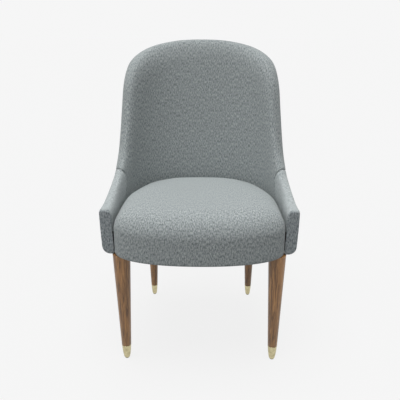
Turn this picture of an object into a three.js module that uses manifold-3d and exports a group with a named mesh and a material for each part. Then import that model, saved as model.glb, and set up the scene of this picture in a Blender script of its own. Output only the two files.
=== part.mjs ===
// An upholstered dining chair: a padded shell that wraps round as back and arms, a crowned seat
// between the arms, and four round tapered legs with metal tips.
// Millimetres, +Z up. Plan measures run back from the arms' front faces, and the finished chair is
// then set down with the middle of its footprint on the origin.
import * as THREE from 'three';
import { mergeVertices } from 'three/addons/utils/BufferGeometryUtils.js';
import Module from 'manifold-3d';

const wasm = await Module();
wasm.setup();

// Overall sizes of the upholstered shell.
const underside_z = 343;
const arm_top_z = 472;
const back_top_z = 905;
const arm_half_width = 273;
const shell_depth = 442.5;
const arm_thickness = 34;
const back_thickness = 72.5;
const rim_side_thickness = 44;
const rim_back_thickness = 50;
const arm_straight = 100;
const outer_squareness = 3.8;
const inner_squareness = 3.2;

// The sides draw in below the arm, and the back leans.
const upright_z = 420;
const side_draw_share = 0.05;
const side_ease = 40;
const recline = THREE.MathUtils.degToRad(10);
const lean_start_z = 480;
const lean_ease = 70;

// The rolled rim, softer on the sitter's side, and the turned-in lower edge.
const rim_depth = 20;
const arm_roll_depth = 28;
const back_roll_depth = 70;
const rim_squareness = 2.4;
const arm_edge_squareness = 7;
const lower_radius = 22;

// Rows of the rim's run from an arm's front to the middle of the back: its share of the plan
// length, its share of the rise from arm to back top, and the plan share where its line lands.
const rim_shares = [
  [0, 0, 0],
  [0.1, 0, 0.1],
  [0.2, 0.022, 0.195],
  [0.3, 0.059, 0.285],
  [0.371, 0.105, 0.355],
  [0.435, 0.21, 0.415],
  [0.47, 0.345, 0.48],
  [0.497, 0.506, 0.545],
  [0.523, 0.685, 0.61],
  [0.559, 0.8, 0.665],
  [0.6, 0.866, 0.72],
  [0.7, 0.942, 0.79],
  [0.84, 0.988, 0.88],
  [1, 1, 1],
];

// Layers of the shell, from the outside in.
const gap = 0.3;
const cloth = 1.6;
const outer_padding = 4;
const ply = 12;
const shell_top_inset = 16;
const shell_foot_rise = 11;
const seam_gap = 0.5;
const wing_seam_share = 0.385;
const under_hem = 3;

// The seat.
const seat_crown_z = 482;
const seat_edge_z = 415;
const seat_rear_edge_z = 458;
const seat_nose = 97;
const seat_nose_squareness = 2.2;
const seat_widest_setback = 17.3;
const seat_side_gap = 0.6;
const seat_wadding = 4;
const seat_hem = 6;
const seat_lower_radius = 5;
const seat_centre_share = 0.42;
const seat_straight_share = 0.25;
const seat_rise_start = 240;
const seat_rise_end = 400;
const seat_front_power = 12;
const seat_rear_power = 2.4;

// The hardwood frame under the seat.
const rail_top_z = 403;
const rail_thickness = 24;
const side_rail_thickness = 27;
const rail_rise = 5;
const block_rise = 3.2;
const block_height = 40;
const block_reach = 34;
const block_setback = 44;
const rail_low = underside_z + rail_rise;
const side_rail_start = 21;

// Webbing and the dust cover.
const strap_width = 50;
const strap_thickness = 1.5;
const strap_margin = 6;
const long_strap_spacing = 95;
const cross_strap_start = 70;
const cross_strap_spacing = 105;
const strap_step = 12;
const tuck_clearance = 0.4;
const dust_sheet = 1;

// The legs and their metal tips, front pair and rear pair. The rear pair stands in the shell's rear
// corners, at a share of the plan length and a depth in from the outer face.
const front_leg_inset_x = 55.5;
const front_leg_setback = 6.3;
const rear_leg_share = 0.69464;
const rear_leg_inset = 33.552;
const leg_bolt_radius = 4;
const leg_bolt_bite = 40;
const leg_bolt_spare = 3;
const nut_radius = 7.5;
const nut_height = 6.5;
const tip_wall = 1.2;
const tip_floor = 3.5;
const glide_height = 1.9;
const front_leg = {
  top_radius: 24.6,
  shoulder_radius: 13.8,
  tip_height: 46,
  tip_radius: 8.9,
  glide_radius: 6.5,
};
const rear_leg = {
  top_radius: 22.6,
  shoulder_radius: 11.2,
  tip_height: 38.5,
  tip_radius: 7.4,
  glide_radius: 5.4,
};

// Heights and radii of the tip's outline, as shares of its height and of its taper.
const tip_outline_shares = [
  [1, 1],
  [0.56, 0.66],
  [0.25, 0.27],
  [0.1, 0],
];
const tip_foot_share = 0.82;

// Bolts that hold the shell to the frame.
const bolt_radius = 3;
const bolt_head_radius = 6.5;
const bolt_head = 4.4;
const bolt_bite = 22;
const bolt_z = 378;
const bolt_clearance = 0.35;
const overrun = 6;

// The covered panels at the arms' front ends.
const end_panel_thickness = 8;
const end_panel_inset = 0.6;
const end_panel_bevel = 1.2;
const end_gap = 0.5;

// How finely the curves are cut, and which of the shell's lines the frame stops and bolts on.
const back_strand_count = 20;
const arm_strand_count = 6;
const seat_column_count = 40;
const leg_segments = 16;
const bolt_segments = 10;
const plan_steps = 240;
const rim_steps = 800;
const place_searches = 40;
const reach_steps = 120;
const leave_share = 0.35;
const land_share = 0.3;
const side_rail_strand_count = 4;
const rear_rail_strand_count = 8;
const wing_bolt_strand_count = 2;
const back_bolt_strand_count = 9;
const arm_bolt_strand_counts = [1, 4];

// Colours and finishes.
const fabric = new THREE.MeshStandardMaterial({ color: 0x7f8989, roughness: 0.95, metalness: 0 });
const foam = new THREE.MeshStandardMaterial({ color: 0xe6ddc0, roughness: 1, metalness: 0 });
const wadding = new THREE.MeshStandardMaterial({ color: 0xf0efea, roughness: 1, metalness: 0 });
const plywood = new THREE.MeshStandardMaterial({ color: 0xc8a878, roughness: 0.7, metalness: 0 });
const hardwood = new THREE.MeshStandardMaterial({ color: 0xb98f5f, roughness: 0.65, metalness: 0 });
const walnut = new THREE.MeshStandardMaterial({ color: 0x7d5a3c, roughness: 0.5, metalness: 0 });
const brass = new THREE.MeshStandardMaterial({ color: 0xb8a76a, roughness: 0.32, metalness: 1 });
const steel = new THREE.MeshStandardMaterial({ color: 0x9a9ca0, roughness: 0.4, metalness: 1 });
const nylon = new THREE.MeshStandardMaterial({ color: 0x3a3632, roughness: 0.6, metalness: 0 });
const webbing = new THREE.MeshStandardMaterial({ color: 0x2e2d2b, roughness: 0.9, metalness: 0 });
const lining = new THREE.MeshStandardMaterial({ color: 0x1f1f20, roughness: 0.95, metalness: 0 });

const group = new THREE.Group();
const sides = [['left', -1], ['right', 1]];

// Turn a mesh round if its faces point inwards.
function outward(geometry) {
  const position = geometry.getAttribute('position');
  const index = geometry.getIndex();
  const corner = [new THREE.Vector3(), new THREE.Vector3(), new THREE.Vector3()];
  let volume = 0;
  for (let i = 0; i < index.count; i += 3) {
    corner.forEach((point, k) => point.fromBufferAttribute(position, index.getX(i + k)));
    volume += corner[0].dot(corner[1].clone().cross(corner[2]));
  }
  if (volume < 0) {
    for (let i = 0; i < index.count; i += 3) {
      const first = index.getX(i);
      index.setX(i, index.getX(i + 2));
      index.setX(i + 2, first);
    }
  }
  return geometry;
}

// Keep only the places of a mesh, with shared corners joined and empty faces left out.
function bare(geometry) {
  geometry.deleteAttribute('normal');
  geometry.deleteAttribute('uv');
  const merged = mergeVertices(geometry);
  const index = [...merged.getIndex().array];
  const kept = [];
  for (let i = 0; i < index.length; i += 3) {
    const face = index.slice(i, i + 3);
    if (new Set(face).size === face.length) kept.push(...face);
  }
  merged.setIndex(kept);
  return merged;
}

function meshOf(points, triangles) {
  const geometry = new THREE.BufferGeometry();
  const places = points.flatMap((point) => [point.x, point.y, point.z]);
  geometry.setAttribute('position', new THREE.Float32BufferAttribute(places, 3));
  geometry.setIndex(triangles);
  return outward(geometry);
}

function add(name, geometry, material) {
  geometry.computeVertexNormals();
  const mesh = new THREE.Mesh(geometry, material);
  mesh.name = name;
  group.add(mesh);
}

// A solid between two facing grids of points, closed along their four borders. crossed cuts the far
// grid's cells the other way, to suit a neighbour whose lines run the other way.
function slab(near, far, crossed = false) {
  const rows = near.length;
  const columns = near[0].length;
  const points = [...near.flat(), ...far.flat()];
  const back = rows * columns;
  const at = (row, column) => row * columns + column;
  const triangles = [];
  const quad = (a, b, c, d) => triangles.push(a, b, c, a, c, d);
  for (let row = 0; row + 1 < rows; row += 1) {
    for (let column = 0; column + 1 < columns; column += 1) {
      const corners = [at(row, column), at(row + 1, column), at(row + 1, column + 1), at(row, column + 1)];
      quad(...corners);
      const [a, b, c, d] = corners.map((corner) => corner + back);
      if (crossed) quad(d, c, b, a);
      else quad(a, d, c, b);
    }
  }
  const rim = [];
  for (let row = 0; row + 1 < rows; row += 1) rim.push(at(row, 0));
  for (let column = 0; column + 1 < columns; column += 1) rim.push(at(rows - 1, column));
  for (let row = rows - 1; row > 0; row -= 1) rim.push(at(row, columns - 1));
  for (let column = columns - 1; column > 0; column -= 1) rim.push(at(0, column));
  rim.forEach((corner, i) => {
    const next = rim[(i + 1) % rim.length];
    if (next < corner) quad(corner, corner + back, next + back, next);
    else quad(next, corner, corner + back, next + back);
  });
  return meshOf(points, triangles);
}

// A solid of stacked closed loops between two poles. Loops after the turn run back up inside it.
function ringed(first_pole, loops, last_pole, turn = loops.length) {
  const count = loops[0].length;
  const points = [first_pole, ...loops.flat(), last_pole];
  const last = points.length - 1;
  const at = (ring, i) => 1 + ring * count + (i % count);
  const triangles = [];
  for (let i = 0; i < count; i += 1) {
    triangles.push(0, at(0, i), at(0, i + 1));
    triangles.push(last, at(loops.length - 1, i + 1), at(loops.length - 1, i));
    for (let ring = 0; ring + 1 < loops.length; ring += 1) {
      const [a, b, c, d] = [at(ring, i), at(ring + 1, i), at(ring + 1, i + 1), at(ring, i + 1)];
      if (ring < turn) triangles.push(a, b, c, a, c, d);
      else triangles.push(a, b, d, d, b, c);
    }
  }
  return meshOf(points, triangles);
}

// A round piece about a vertical axis, from rows of radius and height.
function turned(profile, segments) {
  const points = profile.map(([radius, z]) => new THREE.Vector2(radius, z));
  const geometry = new THREE.LatheGeometry(points, segments);
  geometry.rotateX(Math.PI / 2);
  return outward(bare(geometry));
}

// A flat plate between two heights, from outline points and round holes.
function plate(outline, low_z, high_z, holes = []) {
  const corners = outline.map(([x, y]) => new THREE.Vector2(x, y));
  if (THREE.ShapeUtils.isClockWise(corners)) corners.reverse();
  const shape = new THREE.Shape(corners);
  for (const { x, y, radius } of holes) {
    const ring = Array.from({ length: bolt_segments }, (_, i) => {
      const turn = (-2 * Math.PI * i) / bolt_segments;
      return new THREE.Vector2(x + radius * Math.cos(turn), y + radius * Math.sin(turn));
    });
    shape.holes.push(new THREE.Path(ring));
  }
  const options = { depth: high_z - low_z, bevelEnabled: false };
  const geometry = new THREE.ExtrudeGeometry(shape, options);
  geometry.translate(0, 0, low_z);
  return outward(bare(geometry));
}

function manifoldOf(geometry) {
  const merged = mergeVertices(geometry);
  const vertProperties = new Float32Array(merged.getAttribute('position').array);
  const triVerts = new Uint32Array(merged.getIndex().array);
  return new wasm.Manifold(new wasm.Mesh({ numProp: 3, vertProperties, triVerts }));
}

// Cut round holes out of a mesh.
function drilled(geometry, drills) {
  let body = manifoldOf(geometry);
  for (const drill of drills) body = body.subtract(manifoldOf(drill));
  const cut = body.getMesh();
  const result = new THREE.BufferGeometry();
  result.setAttribute('position', new THREE.Float32BufferAttribute(cut.vertProperties, 3));
  result.setIndex([...cut.triVerts]);
  return outward(result);
}

// One half of a squarish plan curve, at an angle from its side to its middle.
function planCurve(angle, half_width, depth, squareness) {
  const across = Math.pow(Math.max(Math.cos(angle), 0), 2 / squareness);
  const along = Math.pow(Math.max(Math.sin(angle), 0), 2 / squareness);
  return { x: half_width * across, y: arm_straight + (depth - arm_straight) * along };
}

// The curve's length at many angles, so that places can be given as shares of it.
function lengthTable(half_width, depth, squareness) {
  const table = [{ angle: 0, length: 0 }];
  let last = planCurve(0, half_width, depth, squareness);
  for (let i = 1; i <= plan_steps; i += 1) {
    const share = i / plan_steps;
    const angle = (Math.PI / 2) * share * share * (3 - 2 * share);
    const point = planCurve(angle, half_width, depth, squareness);
    const step = Math.hypot(point.x - last.x, point.y - last.y);
    table.push({ angle, length: table[i - 1].length + step });
    last = point;
  }
  return table;
}

function angleAt(share, table) {
  const wanted = share * table[table.length - 1].length;
  let i = 1;
  while (i < table.length - 1 && table[i].length < wanted) i += 1;
  const [low, high] = [table[i - 1], table[i]];
  const part = (wanted - low.length) / (high.length - low.length);
  return low.angle + (high.angle - low.angle) * Math.min(part, 1);
}

// Sizes of the shell's plan at a height.
function outerHalfWidth(z) {
  const drop = upright_z - z;
  return arm_half_width - (side_draw_share * (drop + Math.hypot(drop, side_ease))) / 2;
}

function outerDepth(z) {
  const rise = z - lean_start_z;
  return shell_depth + (Math.tan(recline) * (rise + Math.hypot(rise, lean_ease))) / 2;
}

function thinning(z) {
  return THREE.MathUtils.clamp((z - arm_top_z) / (back_top_z - arm_top_z), 0, 1);
}

function innerHalfWidth(z) {
  return outerHalfWidth(z) - THREE.MathUtils.lerp(arm_thickness, rim_side_thickness, thinning(z));
}

function innerDepth(z) {
  return outerDepth(z) - THREE.MathUtils.lerp(back_thickness, rim_back_thickness, thinning(z));
}

const outer_table = lengthTable(outerHalfWidth(arm_top_z), outerDepth(arm_top_z), outer_squareness);
const inner_table = lengthTable(innerHalfWidth(arm_top_z), innerDepth(arm_top_z), inner_squareness);
const curved_length = outer_table[outer_table.length - 1].length;
const half_length = arm_straight + curved_length;

// A point in the wall. along is the signed distance from the middle of the back, right positive,
// and across runs from 0 on the sitter's side to 1 on the outside.
function wallEnds(along, z) {
  const side = along < 0 ? -1 : 1;
  const from_front = half_length - Math.abs(along);
  const ends = [
    [inner_table, innerHalfWidth(z), innerDepth(z), inner_squareness],
    [outer_table, outerHalfWidth(z), outerDepth(z), outer_squareness],
  ];
  return ends.map(([table, half_width, depth, squareness]) => {
    if (from_front < arm_straight) return new THREE.Vector3(side * half_width, from_front, z);
    const angle = angleAt((from_front - arm_straight) / curved_length, table);
    const point = planCurve(angle, half_width, depth, squareness);
    return new THREE.Vector3(side * point.x, point.y, z);
  });
}

function wallPoint(along, z, across) {
  const [inner, outer] = wallEnds(along, z);
  return inner.lerp(outer, across);
}

function wallThickness(along, z) {
  const [inner, outer] = wallEnds(along, z);
  return inner.distanceTo(outer);
}

// A point at a depth in from the outer face.
function insidePoint(along, z, depth) {
  return wallPoint(along, z, 1 - depth / wallThickness(along, z));
}

// The rim's run as one smooth line, in distance along, height and landing place.
const rim_half = rim_shares.map(([along_share, rise_share, landing_share]) => {
  const z = THREE.MathUtils.lerp(arm_top_z, back_top_z, rise_share);
  return new THREE.Vector3((1 - along_share) * half_length, z, (1 - landing_share) * half_length);
});
const mirrored = rim_half.map((row) => new THREE.Vector3(-row.x, row.y, -row.z));
const rim_line = new THREE.CatmullRomCurve3([...mirrored, ...rim_half.slice(0, -1).reverse()]);
rim_line.arcLengthDivisions = rim_steps;

// The rim at a place from -1, the left arm's front, to 1, the right arm's front.
function rimAt(place) {
  const share = (place + 1) / 2;
  const point = rim_line.getPointAt(share);
  const tangent = rim_line.getTangentAt(share);
  const length = Math.hypot(tangent.x, tangent.y);
  return {
    along: point.x,
    z: point.y,
    landing: point.z,
    inward_along: tangent.y / length,
    inward_z: -tangent.x / length,
  };
}

// Heights where the layers of the shell and of the seat end.
const webbing_top_z = rail_top_z + 2 * (strap_thickness + gap);
const tuck_z = webbing_top_z + tuck_clearance;
const outer_foot = underside_z + lower_radius;
const board_foot = underside_z + shell_foot_rise;

// Depths of the shell's layers under the outer face.
const shell_face = cloth + gap + outer_padding + gap;
const shell_inside = shell_face + ply;

// Follow the line that leaves the rim squarely and lands at the tuck beside the seat. run is a
// share from 0, one rim depth in, to 1, the landing.
function lineAt(rim, run) {
  const start = insetAt(rim, rim_depth);
  const foot = new THREE.Vector2(rim.landing, tuck_z);
  const reach = start.distanceTo(foot);
  const leave = new THREE.Vector2(rim.inward_along, rim.inward_z).multiplyScalar(reach * leave_share);
  const land = new THREE.Vector2(0, reach * land_share);
  const curve = new THREE.CubicBezierCurve(start, start.clone().add(leave), foot.clone().add(land), foot);
  return curve.getPoint(run);
}

function insetAt(rim, inset) {
  return new THREE.Vector2(rim.along + rim.inward_along * inset, rim.z + rim.inward_z * inset);
}

// A point at a depth under the sitter's face, side -1, or under the outside, side 1.
function facePoint(spot, side, depth) {
  const across = depth / wallThickness(spot.x, spot.y);
  return wallPoint(spot.x, spot.y, side > 0 ? 1 - across : across);
}

// A value that changes on the way from an arm's front to the wing's seam.
function byPlace(rim, at_arm, at_back) {
  const back_share = THREE.MathUtils.smoothstep(1 - Math.abs(rim.along) / half_length, 0, wing_seam_share);
  return THREE.MathUtils.lerp(at_arm, at_back, back_share);
}

// A point under the sitter's face, which rolls softly outwards on its way up to the rim.
function sittersPoint(rim, spot, depth) {
  const inset = Math.hypot(spot.x - rim.along, spot.y - rim.z);
  const reach = byPlace(rim, arm_roll_depth, back_roll_depth);
  const away = 1 - THREE.MathUtils.clamp((inset - depth) / (reach - depth), 0, 1);
  const fullness = Math.pow(1 - Math.pow(away, rim_squareness), 1 / rim_squareness);
  const half = 0.5 - depth / wallThickness(spot.x, spot.y);
  return wallPoint(spot.x, spot.y, 0.5 - fullness * half);
}

// The rim is round, but the arms' outer edges are crisper towards the front.
function rimPoint(rim, inset_share, side, depth) {
  const spot = insetAt(rim, depth + inset_share * (rim_depth - depth));
  if (side < 0) return sittersPoint(rim, spot, depth);
  const power = byPlace(rim, arm_edge_squareness, rim_squareness);
  const fullness = Math.pow(1 - Math.pow(1 - inset_share, power), 1 / power);
  const half = 0.5 - depth / wallThickness(spot.x, spot.y);
  return wallPoint(spot.x, spot.y, 0.5 + fullness * half);
}

function lowerPoint(rim, turn_share, depth) {
  const turn = (Math.PI / 2) * turn_share;
  const radius = lower_radius - depth;
  const z = outer_foot - radius * Math.sin(turn);
  return insidePoint(rim.landing, z, lower_radius - radius * Math.cos(turn));
}

// All the layers share these lines, so that they lie snugly in one another.
const down_runs = [0, 0.1, 0.25, 0.5, 0.75, 1];
const rim_insets = [0.04, 0.2, 0.55];
const lower_turns = [0.35, 0.7, 1];

// One strand of a cover that runs up the sitter's side and over the rim.
function innerStrand(rim, depth) {
  return [
    ...[...down_runs].reverse().map((run) => sittersPoint(rim, lineAt(rim, run), depth)),
    ...[...rim_insets].reverse().map((share) => rimPoint(rim, share, -1, depth)),
    rimPoint(rim, 0, 1, depth),
    ...rim_insets.map((share) => rimPoint(rim, share, 1, depth)),
    rimPoint(rim, 1, 1, depth),
  ];
}

// The spots down one line of the outside, from an inset under the rim to the lower edge.
function outerSpots(rim, inset) {
  return [
    insetAt(rim, inset),
    ...down_runs.slice(1).map((run) => lineAt(rim, run)),
    new THREE.Vector2(rim.landing, outer_foot),
  ];
}

// One strand of the outside cover, from just under the rim to the hem under the shell.
function outerStrand(rim, depth) {
  const hem = wallThickness(rim.landing, underside_z) - under_hem;
  return [
    ...outerSpots(rim, rim_depth + seam_gap).map((spot) => facePoint(spot, 1, depth)),
    ...lower_turns.map((share) => lowerPoint(rim, share, depth)),
    insidePoint(rim.landing, underside_z + depth, hem),
  ];
}

// Evenly spaced values.
function spread(first, last, count) {
  return Array.from({ length: count + 1 }, (_, i) => THREE.MathUtils.lerp(first, last, i / count));
}

// The place on the right rim at a plan distance back from the arm's front.
function placeFromFront(distance) {
  let [low, high] = [0, 1];
  for (let i = 0; i < place_searches; i += 1) {
    const middle = (low + high) / 2;
    if (rimAt(middle).along < half_length - distance) low = middle;
    else high = middle;
  }
  return (low + high) / 2;
}

const end_place = placeFromFront(end_panel_thickness + end_gap);
const seam_place = placeFromFront(half_length * wing_seam_share);
const seam_step = seam_gap / rim_line.getLength();
const back_rims = spread(-seam_place + seam_step, seam_place - seam_step, back_strand_count).map(rimAt);
const arm_rims = {
  left: spread(-end_place, -seam_place - seam_step, arm_strand_count).map(rimAt),
  right: spread(seam_place + seam_step, end_place, arm_strand_count).map(rimAt),
};
const wall_rims = [...arm_rims.left, ...back_rims, ...arm_rims.right];

function innerCover(rims) {
  return slab(rims.map((rim) => innerStrand(rim, 0)), rims.map((rim) => innerStrand(rim, cloth)));
}

// Padding between the cover and the shell, lapped over the shell's top edge.
function innerPadding(rims) {
  const lap_inset = shell_top_inset - gap;
  const lap_shares = [0, 0.2, 0.35, 0.5, 0.65, 0.8, 1];
  const againstShell = (rim) => {
    const spots = [...down_runs].reverse().map((run) => lineAt(rim, run));
    const faces = spots.map((spot) => insidePoint(spot.x, spot.y, shell_inside + gap));
    const top = insetAt(rim, lap_inset);
    const lap = lap_shares.map((share) => {
      const depth = THREE.MathUtils.lerp(shell_inside + gap, shell_face - gap, share);
      return insidePoint(top.x, top.y, depth);
    });
    const end = insetAt(rim, rim_depth);
    return [...faces, ...lap, insidePoint(end.x, end.y, shell_face - gap)];
  };
  return slab(rims.map((rim) => innerStrand(rim, cloth + gap)), rims.map(againstShell));
}

// A bent board inside the wall.
function wallBoard(rims) {
  const face = (depth) => rims.map((rim) => {
    const spots = [insetAt(rim, shell_top_inset), ...outerSpots(rim, rim_depth)];
    spots.push(new THREE.Vector2(rim.landing, board_foot));
    return spots.map((spot) => insidePoint(spot.x, spot.y, depth));
  });
  return slab(face(shell_face), face(shell_inside), true);
}

function outsideWadding() {
  const inset = rim_depth + 2 * gap;
  const face = (depth) => wall_rims.map((rim) => outerSpots(rim, inset).map((spot) => facePoint(spot, 1, depth)));
  return slab(face(cloth + gap), face(shell_face - gap));
}

// Distances along the wall's foot from one place to another, with the layers' own lines between.
function stations(from, to) {
  const between = wall_rims.map((rim) => rim.landing).filter((along) => along > from && along < to);
  return [from, ...between, to];
}

// A rail of the frame that follows the shell, with upright ends.
function wallRail(from, to, thickness) {
  const near = shell_inside + gap;
  const spots = stations(from, to);
  const face = (depth) => spots.map((along) => [rail_low, rail_top_z].map((z) => insidePoint(along, z, depth)));
  return slab(face(near), face(near + thickness));
}

// Places of the legs.
const legs = [];
for (const [side, sign] of sides) {
  const front_x = sign * (arm_half_width - front_leg_inset_x);
  const rear = insidePoint(sign * (1 - rear_leg_share) * half_length, underside_z, rear_leg_inset);
  legs.push({ name: `front_${side}`, form: front_leg, x: front_x, y: front_leg_setback });
  legs.push({ name: `rear_${side}`, form: rear_leg, x: rear.x, y: rear.y });
}

function legHoles(form) {
  return legs.filter((leg) => leg.form === form).map(({ x, y }) => ({ x, y, radius: leg_bolt_radius + gap }));
}

// The outline of a tip or of the leg end inside it, drawn in by a wall.
function tipOutline(form, wall) {
  return tip_outline_shares.map(([height_share, taper_share]) => {
    const radius = THREE.MathUtils.lerp(form.tip_radius, form.shoulder_radius, taper_share);
    return [radius - wall, form.tip_height * height_share];
  });
}

const leg_top = underside_z - gap;
const tip_low = glide_height + gap;
const tip_inner_low = tip_low + tip_floor;
const block_low = underside_z + block_rise;
const block_high = block_low + block_height;

function legWood(form) {
  const hole = leg_bolt_radius + gap;
  const hole_foot = leg_top - leg_bolt_bite - gap;
  const pin = tipOutline(form, tip_wall + gap);
  const pin_foot = pin[pin.length - 1][0];
  return turned([
    [0, hole_foot],
    [hole, hole_foot],
    [hole, leg_top],
    [form.top_radius, leg_top],
    [form.shoulder_radius, form.tip_height + gap],
    [pin[0][0], form.tip_height + gap],
    ...pin.slice(1, -1),
    [pin_foot, tip_inner_low + gap],
    [0, tip_inner_low + gap],
  ], leg_segments);
}

function legTip(form) {
  const cup = tipOutline(form, tip_wall);
  return turned([
    [0, tip_inner_low],
    [cup[cup.length - 1][0], tip_inner_low],
    ...cup.slice(0, -1).reverse(),
    ...tipOutline(form, 0),
    [form.tip_radius * tip_foot_share, tip_low],
    [0, tip_low],
  ], leg_segments);
}

function legGlide(form) {
  return turned([
    [0, 0],
    [form.glide_radius - gap, 0],
    [form.glide_radius, gap],
    [form.glide_radius, glide_height],
    [0, glide_height],
  ], leg_segments);
}

function legBolt() {
  const bolt_top = block_high + gap + nut_height + leg_bolt_spare;
  return turned([
    [0, leg_top - leg_bolt_bite],
    [leg_bolt_radius, leg_top - leg_bolt_bite],
    [leg_bolt_radius, bolt_top],
    [0, bolt_top],
  ], bolt_segments);
}

function legNut() {
  const corners = 6;
  const hexagon = Array.from({ length: corners }, (_, i) => {
    const angle = (2 * Math.PI * i) / corners;
    return [nut_radius * Math.cos(angle), nut_radius * Math.sin(angle)];
  });
  const low = block_high + gap;
  return plate(hexagon, low, low + nut_height, [{ x: 0, y: 0, radius: leg_bolt_radius + gap }]);
}

for (const { name, form, x, y } of legs) {
  const pieces = [
    ['leg', legWood(form), walnut],
    ['tip', legTip(form), brass],
    ['glide', legGlide(form), nylon],
    ['leg_bolt', legBolt(), steel],
    ['leg_nut', legNut(), steel],
  ];
  for (const [kind, geometry, material] of pieces) {
    geometry.translate(x, y, 0);
    add(`${kind}_${name}`, geometry, material);
  }
}

// The seat's plan: a bowed nose in front, and the shell's own inner curve behind.
const seat_half_width = innerHalfWidth(rail_top_z) - seat_side_gap;
const seat_depth = innerDepth(rail_top_z) - seat_side_gap;
const seat_quarter = seat_column_count / 4;

function inFront(i) {
  return i < seat_quarter || i > seat_column_count - seat_quarter;
}

function seatOutline(i) {
  const turn = (2 * Math.PI * i) / seat_column_count;
  const side = i < seat_column_count / 2 ? 1 : -1;
  if (inFront(i)) {
    const across = Math.pow(Math.abs(Math.sin(turn)), 2 / seat_nose_squareness);
    const forward = Math.pow(Math.max(Math.cos(turn), 0), 2 / seat_nose_squareness);
    return new THREE.Vector2(side * seat_half_width * across, seat_widest_setback - seat_nose * forward);
  }
  const share = 1 - Math.abs(i - seat_column_count / 2) / seat_quarter;
  if (share < seat_straight_share) {
    const y = THREE.MathUtils.lerp(seat_widest_setback, arm_straight, share / seat_straight_share);
    return new THREE.Vector2(side * seat_half_width, y);
  }
  const angle = angleAt((share - seat_straight_share) / (1 - seat_straight_share), inner_table);
  const point = planCurve(angle, seat_half_width, seat_depth, inner_squareness);
  return new THREE.Vector2(i === seat_column_count / 2 ? 0 : side * point.x, point.y);
}

const seat_plan = Array.from({ length: seat_column_count }, (_, i) => seatOutline(i));
const seat_centre = new THREE.Vector2(0, seat_depth * seat_centre_share);
const hub = new THREE.Vector3(seat_centre.x, seat_centre.y, bolt_z);

// A point of the plan drawn in by a distance, square to its own run.
function seatInsetPoint(i, inset) {
  const before = seat_plan[(i + seat_column_count - 1) % seat_column_count];
  const after = seat_plan[(i + 1) % seat_column_count];
  const run = after.clone().sub(before).normalize();
  return seat_plan[i].clone().add(new THREE.Vector2(-run.y, run.x).multiplyScalar(inset));
}

// Height of the seat's edge, lifted towards the back.
function seatEdgeZ(y) {
  const share = THREE.MathUtils.smoothstep(y, seat_rise_start, seat_rise_end);
  return THREE.MathUtils.lerp(seat_edge_z, seat_rear_edge_z, share);
}

function seatDome(depth, draw_in) {
  return seat_plan.map((point, i) => {
    const spot = seatInsetPoint(i, depth).lerp(seat_centre, draw_in);
    const rear_share = THREE.MathUtils.smoothstep(point.y, 0, seat_depth);
    const power = THREE.MathUtils.lerp(seat_front_power, seat_rear_power, rear_share);
    const lift = Math.sqrt(1 - Math.pow(1 - draw_in, power));
    const z = THREE.MathUtils.lerp(seatEdgeZ(point.y), seat_crown_z, lift) - depth;
    return new THREE.Vector3(spot.x, spot.y, z);
  });
}

// A loop whose inset and height differ between the nose and the tucked sides and rear.
function seatLoop(front, tucked) {
  return seat_plan.map((_, i) => {
    const [inset, z] = inFront(i) ? front : tucked;
    const spot = seatInsetPoint(i, inset);
    return new THREE.Vector3(spot.x, spot.y, z);
  });
}

const dome_steps = [0.72, 0.5, 0.33, 0.2, 0.12, 0.06, 0.02, 0.004];

function seatCover() {
  const low = underside_z;
  const outside = [
    ...dome_steps.map((step) => seatDome(0, step)),
    seatLoop([0, low + seat_lower_radius], [0, tuck_z + cloth]),
    seatLoop([seat_lower_radius, low], [seat_lower_radius, tuck_z]),
    seatLoop([seat_hem, low], [seat_hem, tuck_z]),
  ];
  const inside = [
    ...dome_steps.map((step) => seatDome(cloth, step)),
    seatLoop([cloth, low + seat_lower_radius], [cloth, tuck_z + 2 * cloth]),
    seatLoop([seat_lower_radius, low + cloth], [seat_lower_radius, tuck_z + cloth]),
    seatLoop([seat_hem, low + cloth], [seat_hem, tuck_z + cloth]),
  ];
  const crown = new THREE.Vector3(seat_centre.x, seat_centre.y, seat_crown_z);
  const under = crown.clone();
  under.z -= cloth;
  return ringed(crown, [...outside, ...inside.reverse()], under, outside.length);
}

// The foam rests on the webbing, and its thin skirt hangs in front of the front rail.
function seatFoam() {
  const skin = cloth + gap;
  const skirt = skin + seat_wadding;
  const low = underside_z + seat_lower_radius + skin;
  const shelf = tuck_z + skin;
  const base = webbing_top_z + gap;
  const inner = seat_hem + 2 * gap;
  const loops = [
    ...dome_steps.map((step) => seatDome(skin, step)),
    seatLoop([skin + 2 * gap, low], [skin + 2 * gap, shelf + cloth + gap]),
    seatLoop([skirt, low], [skirt, shelf]),
    seatLoop([skirt, base], [inner, shelf]),
    seatLoop([inner, base], [inner + gap, base]),
  ];
  const crown = new THREE.Vector3(seat_centre.x, seat_centre.y, seat_crown_z - skin);
  return ringed(crown, loops, new THREE.Vector3(seat_centre.x, seat_centre.y, base));
}

add('seat_cover', seatCover(), fabric);
add('seat_foam', seatFoam(), foam);

// The frame: a bowed front rail, side rails and a rear rail that follow the shell, and corner blocks.
const frame_inset = cloth + gap + seat_wadding + gap;
const block_inner_x = arm_half_width - front_leg_inset_x - block_reach;
const front_line = [];
for (let i = 1 - seat_quarter; i < seat_quarter; i += 1) {
  front_line.push(seatInsetPoint((i + seat_column_count) % seat_column_count, frame_inset));
}

// The frame's front face, by its own straight facets, between two places across the chair.
function frontFace(from, to) {
  const faceY = (x) => {
    const next = front_line.findIndex((point) => point.x >= x);
    const [a, b] = [front_line[next - 1], front_line[next]];
    return THREE.MathUtils.mapLinear(x, a.x, b.x, a.y, b.y);
  };
  const between = front_line.filter((point) => point.x > from && point.x < to).map(({ x, y }) => [x, y]);
  return [[from, faceY(from)], ...between, [to, faceY(to)]];
}

function frontRail() {
  const front = frontFace(gap - block_inner_x, block_inner_x - gap);
  const back = [...front].reverse().map(([x, y]) => [x, y + rail_thickness]);
  return plate([...front, ...back], rail_low, rail_top_z);
}

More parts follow.
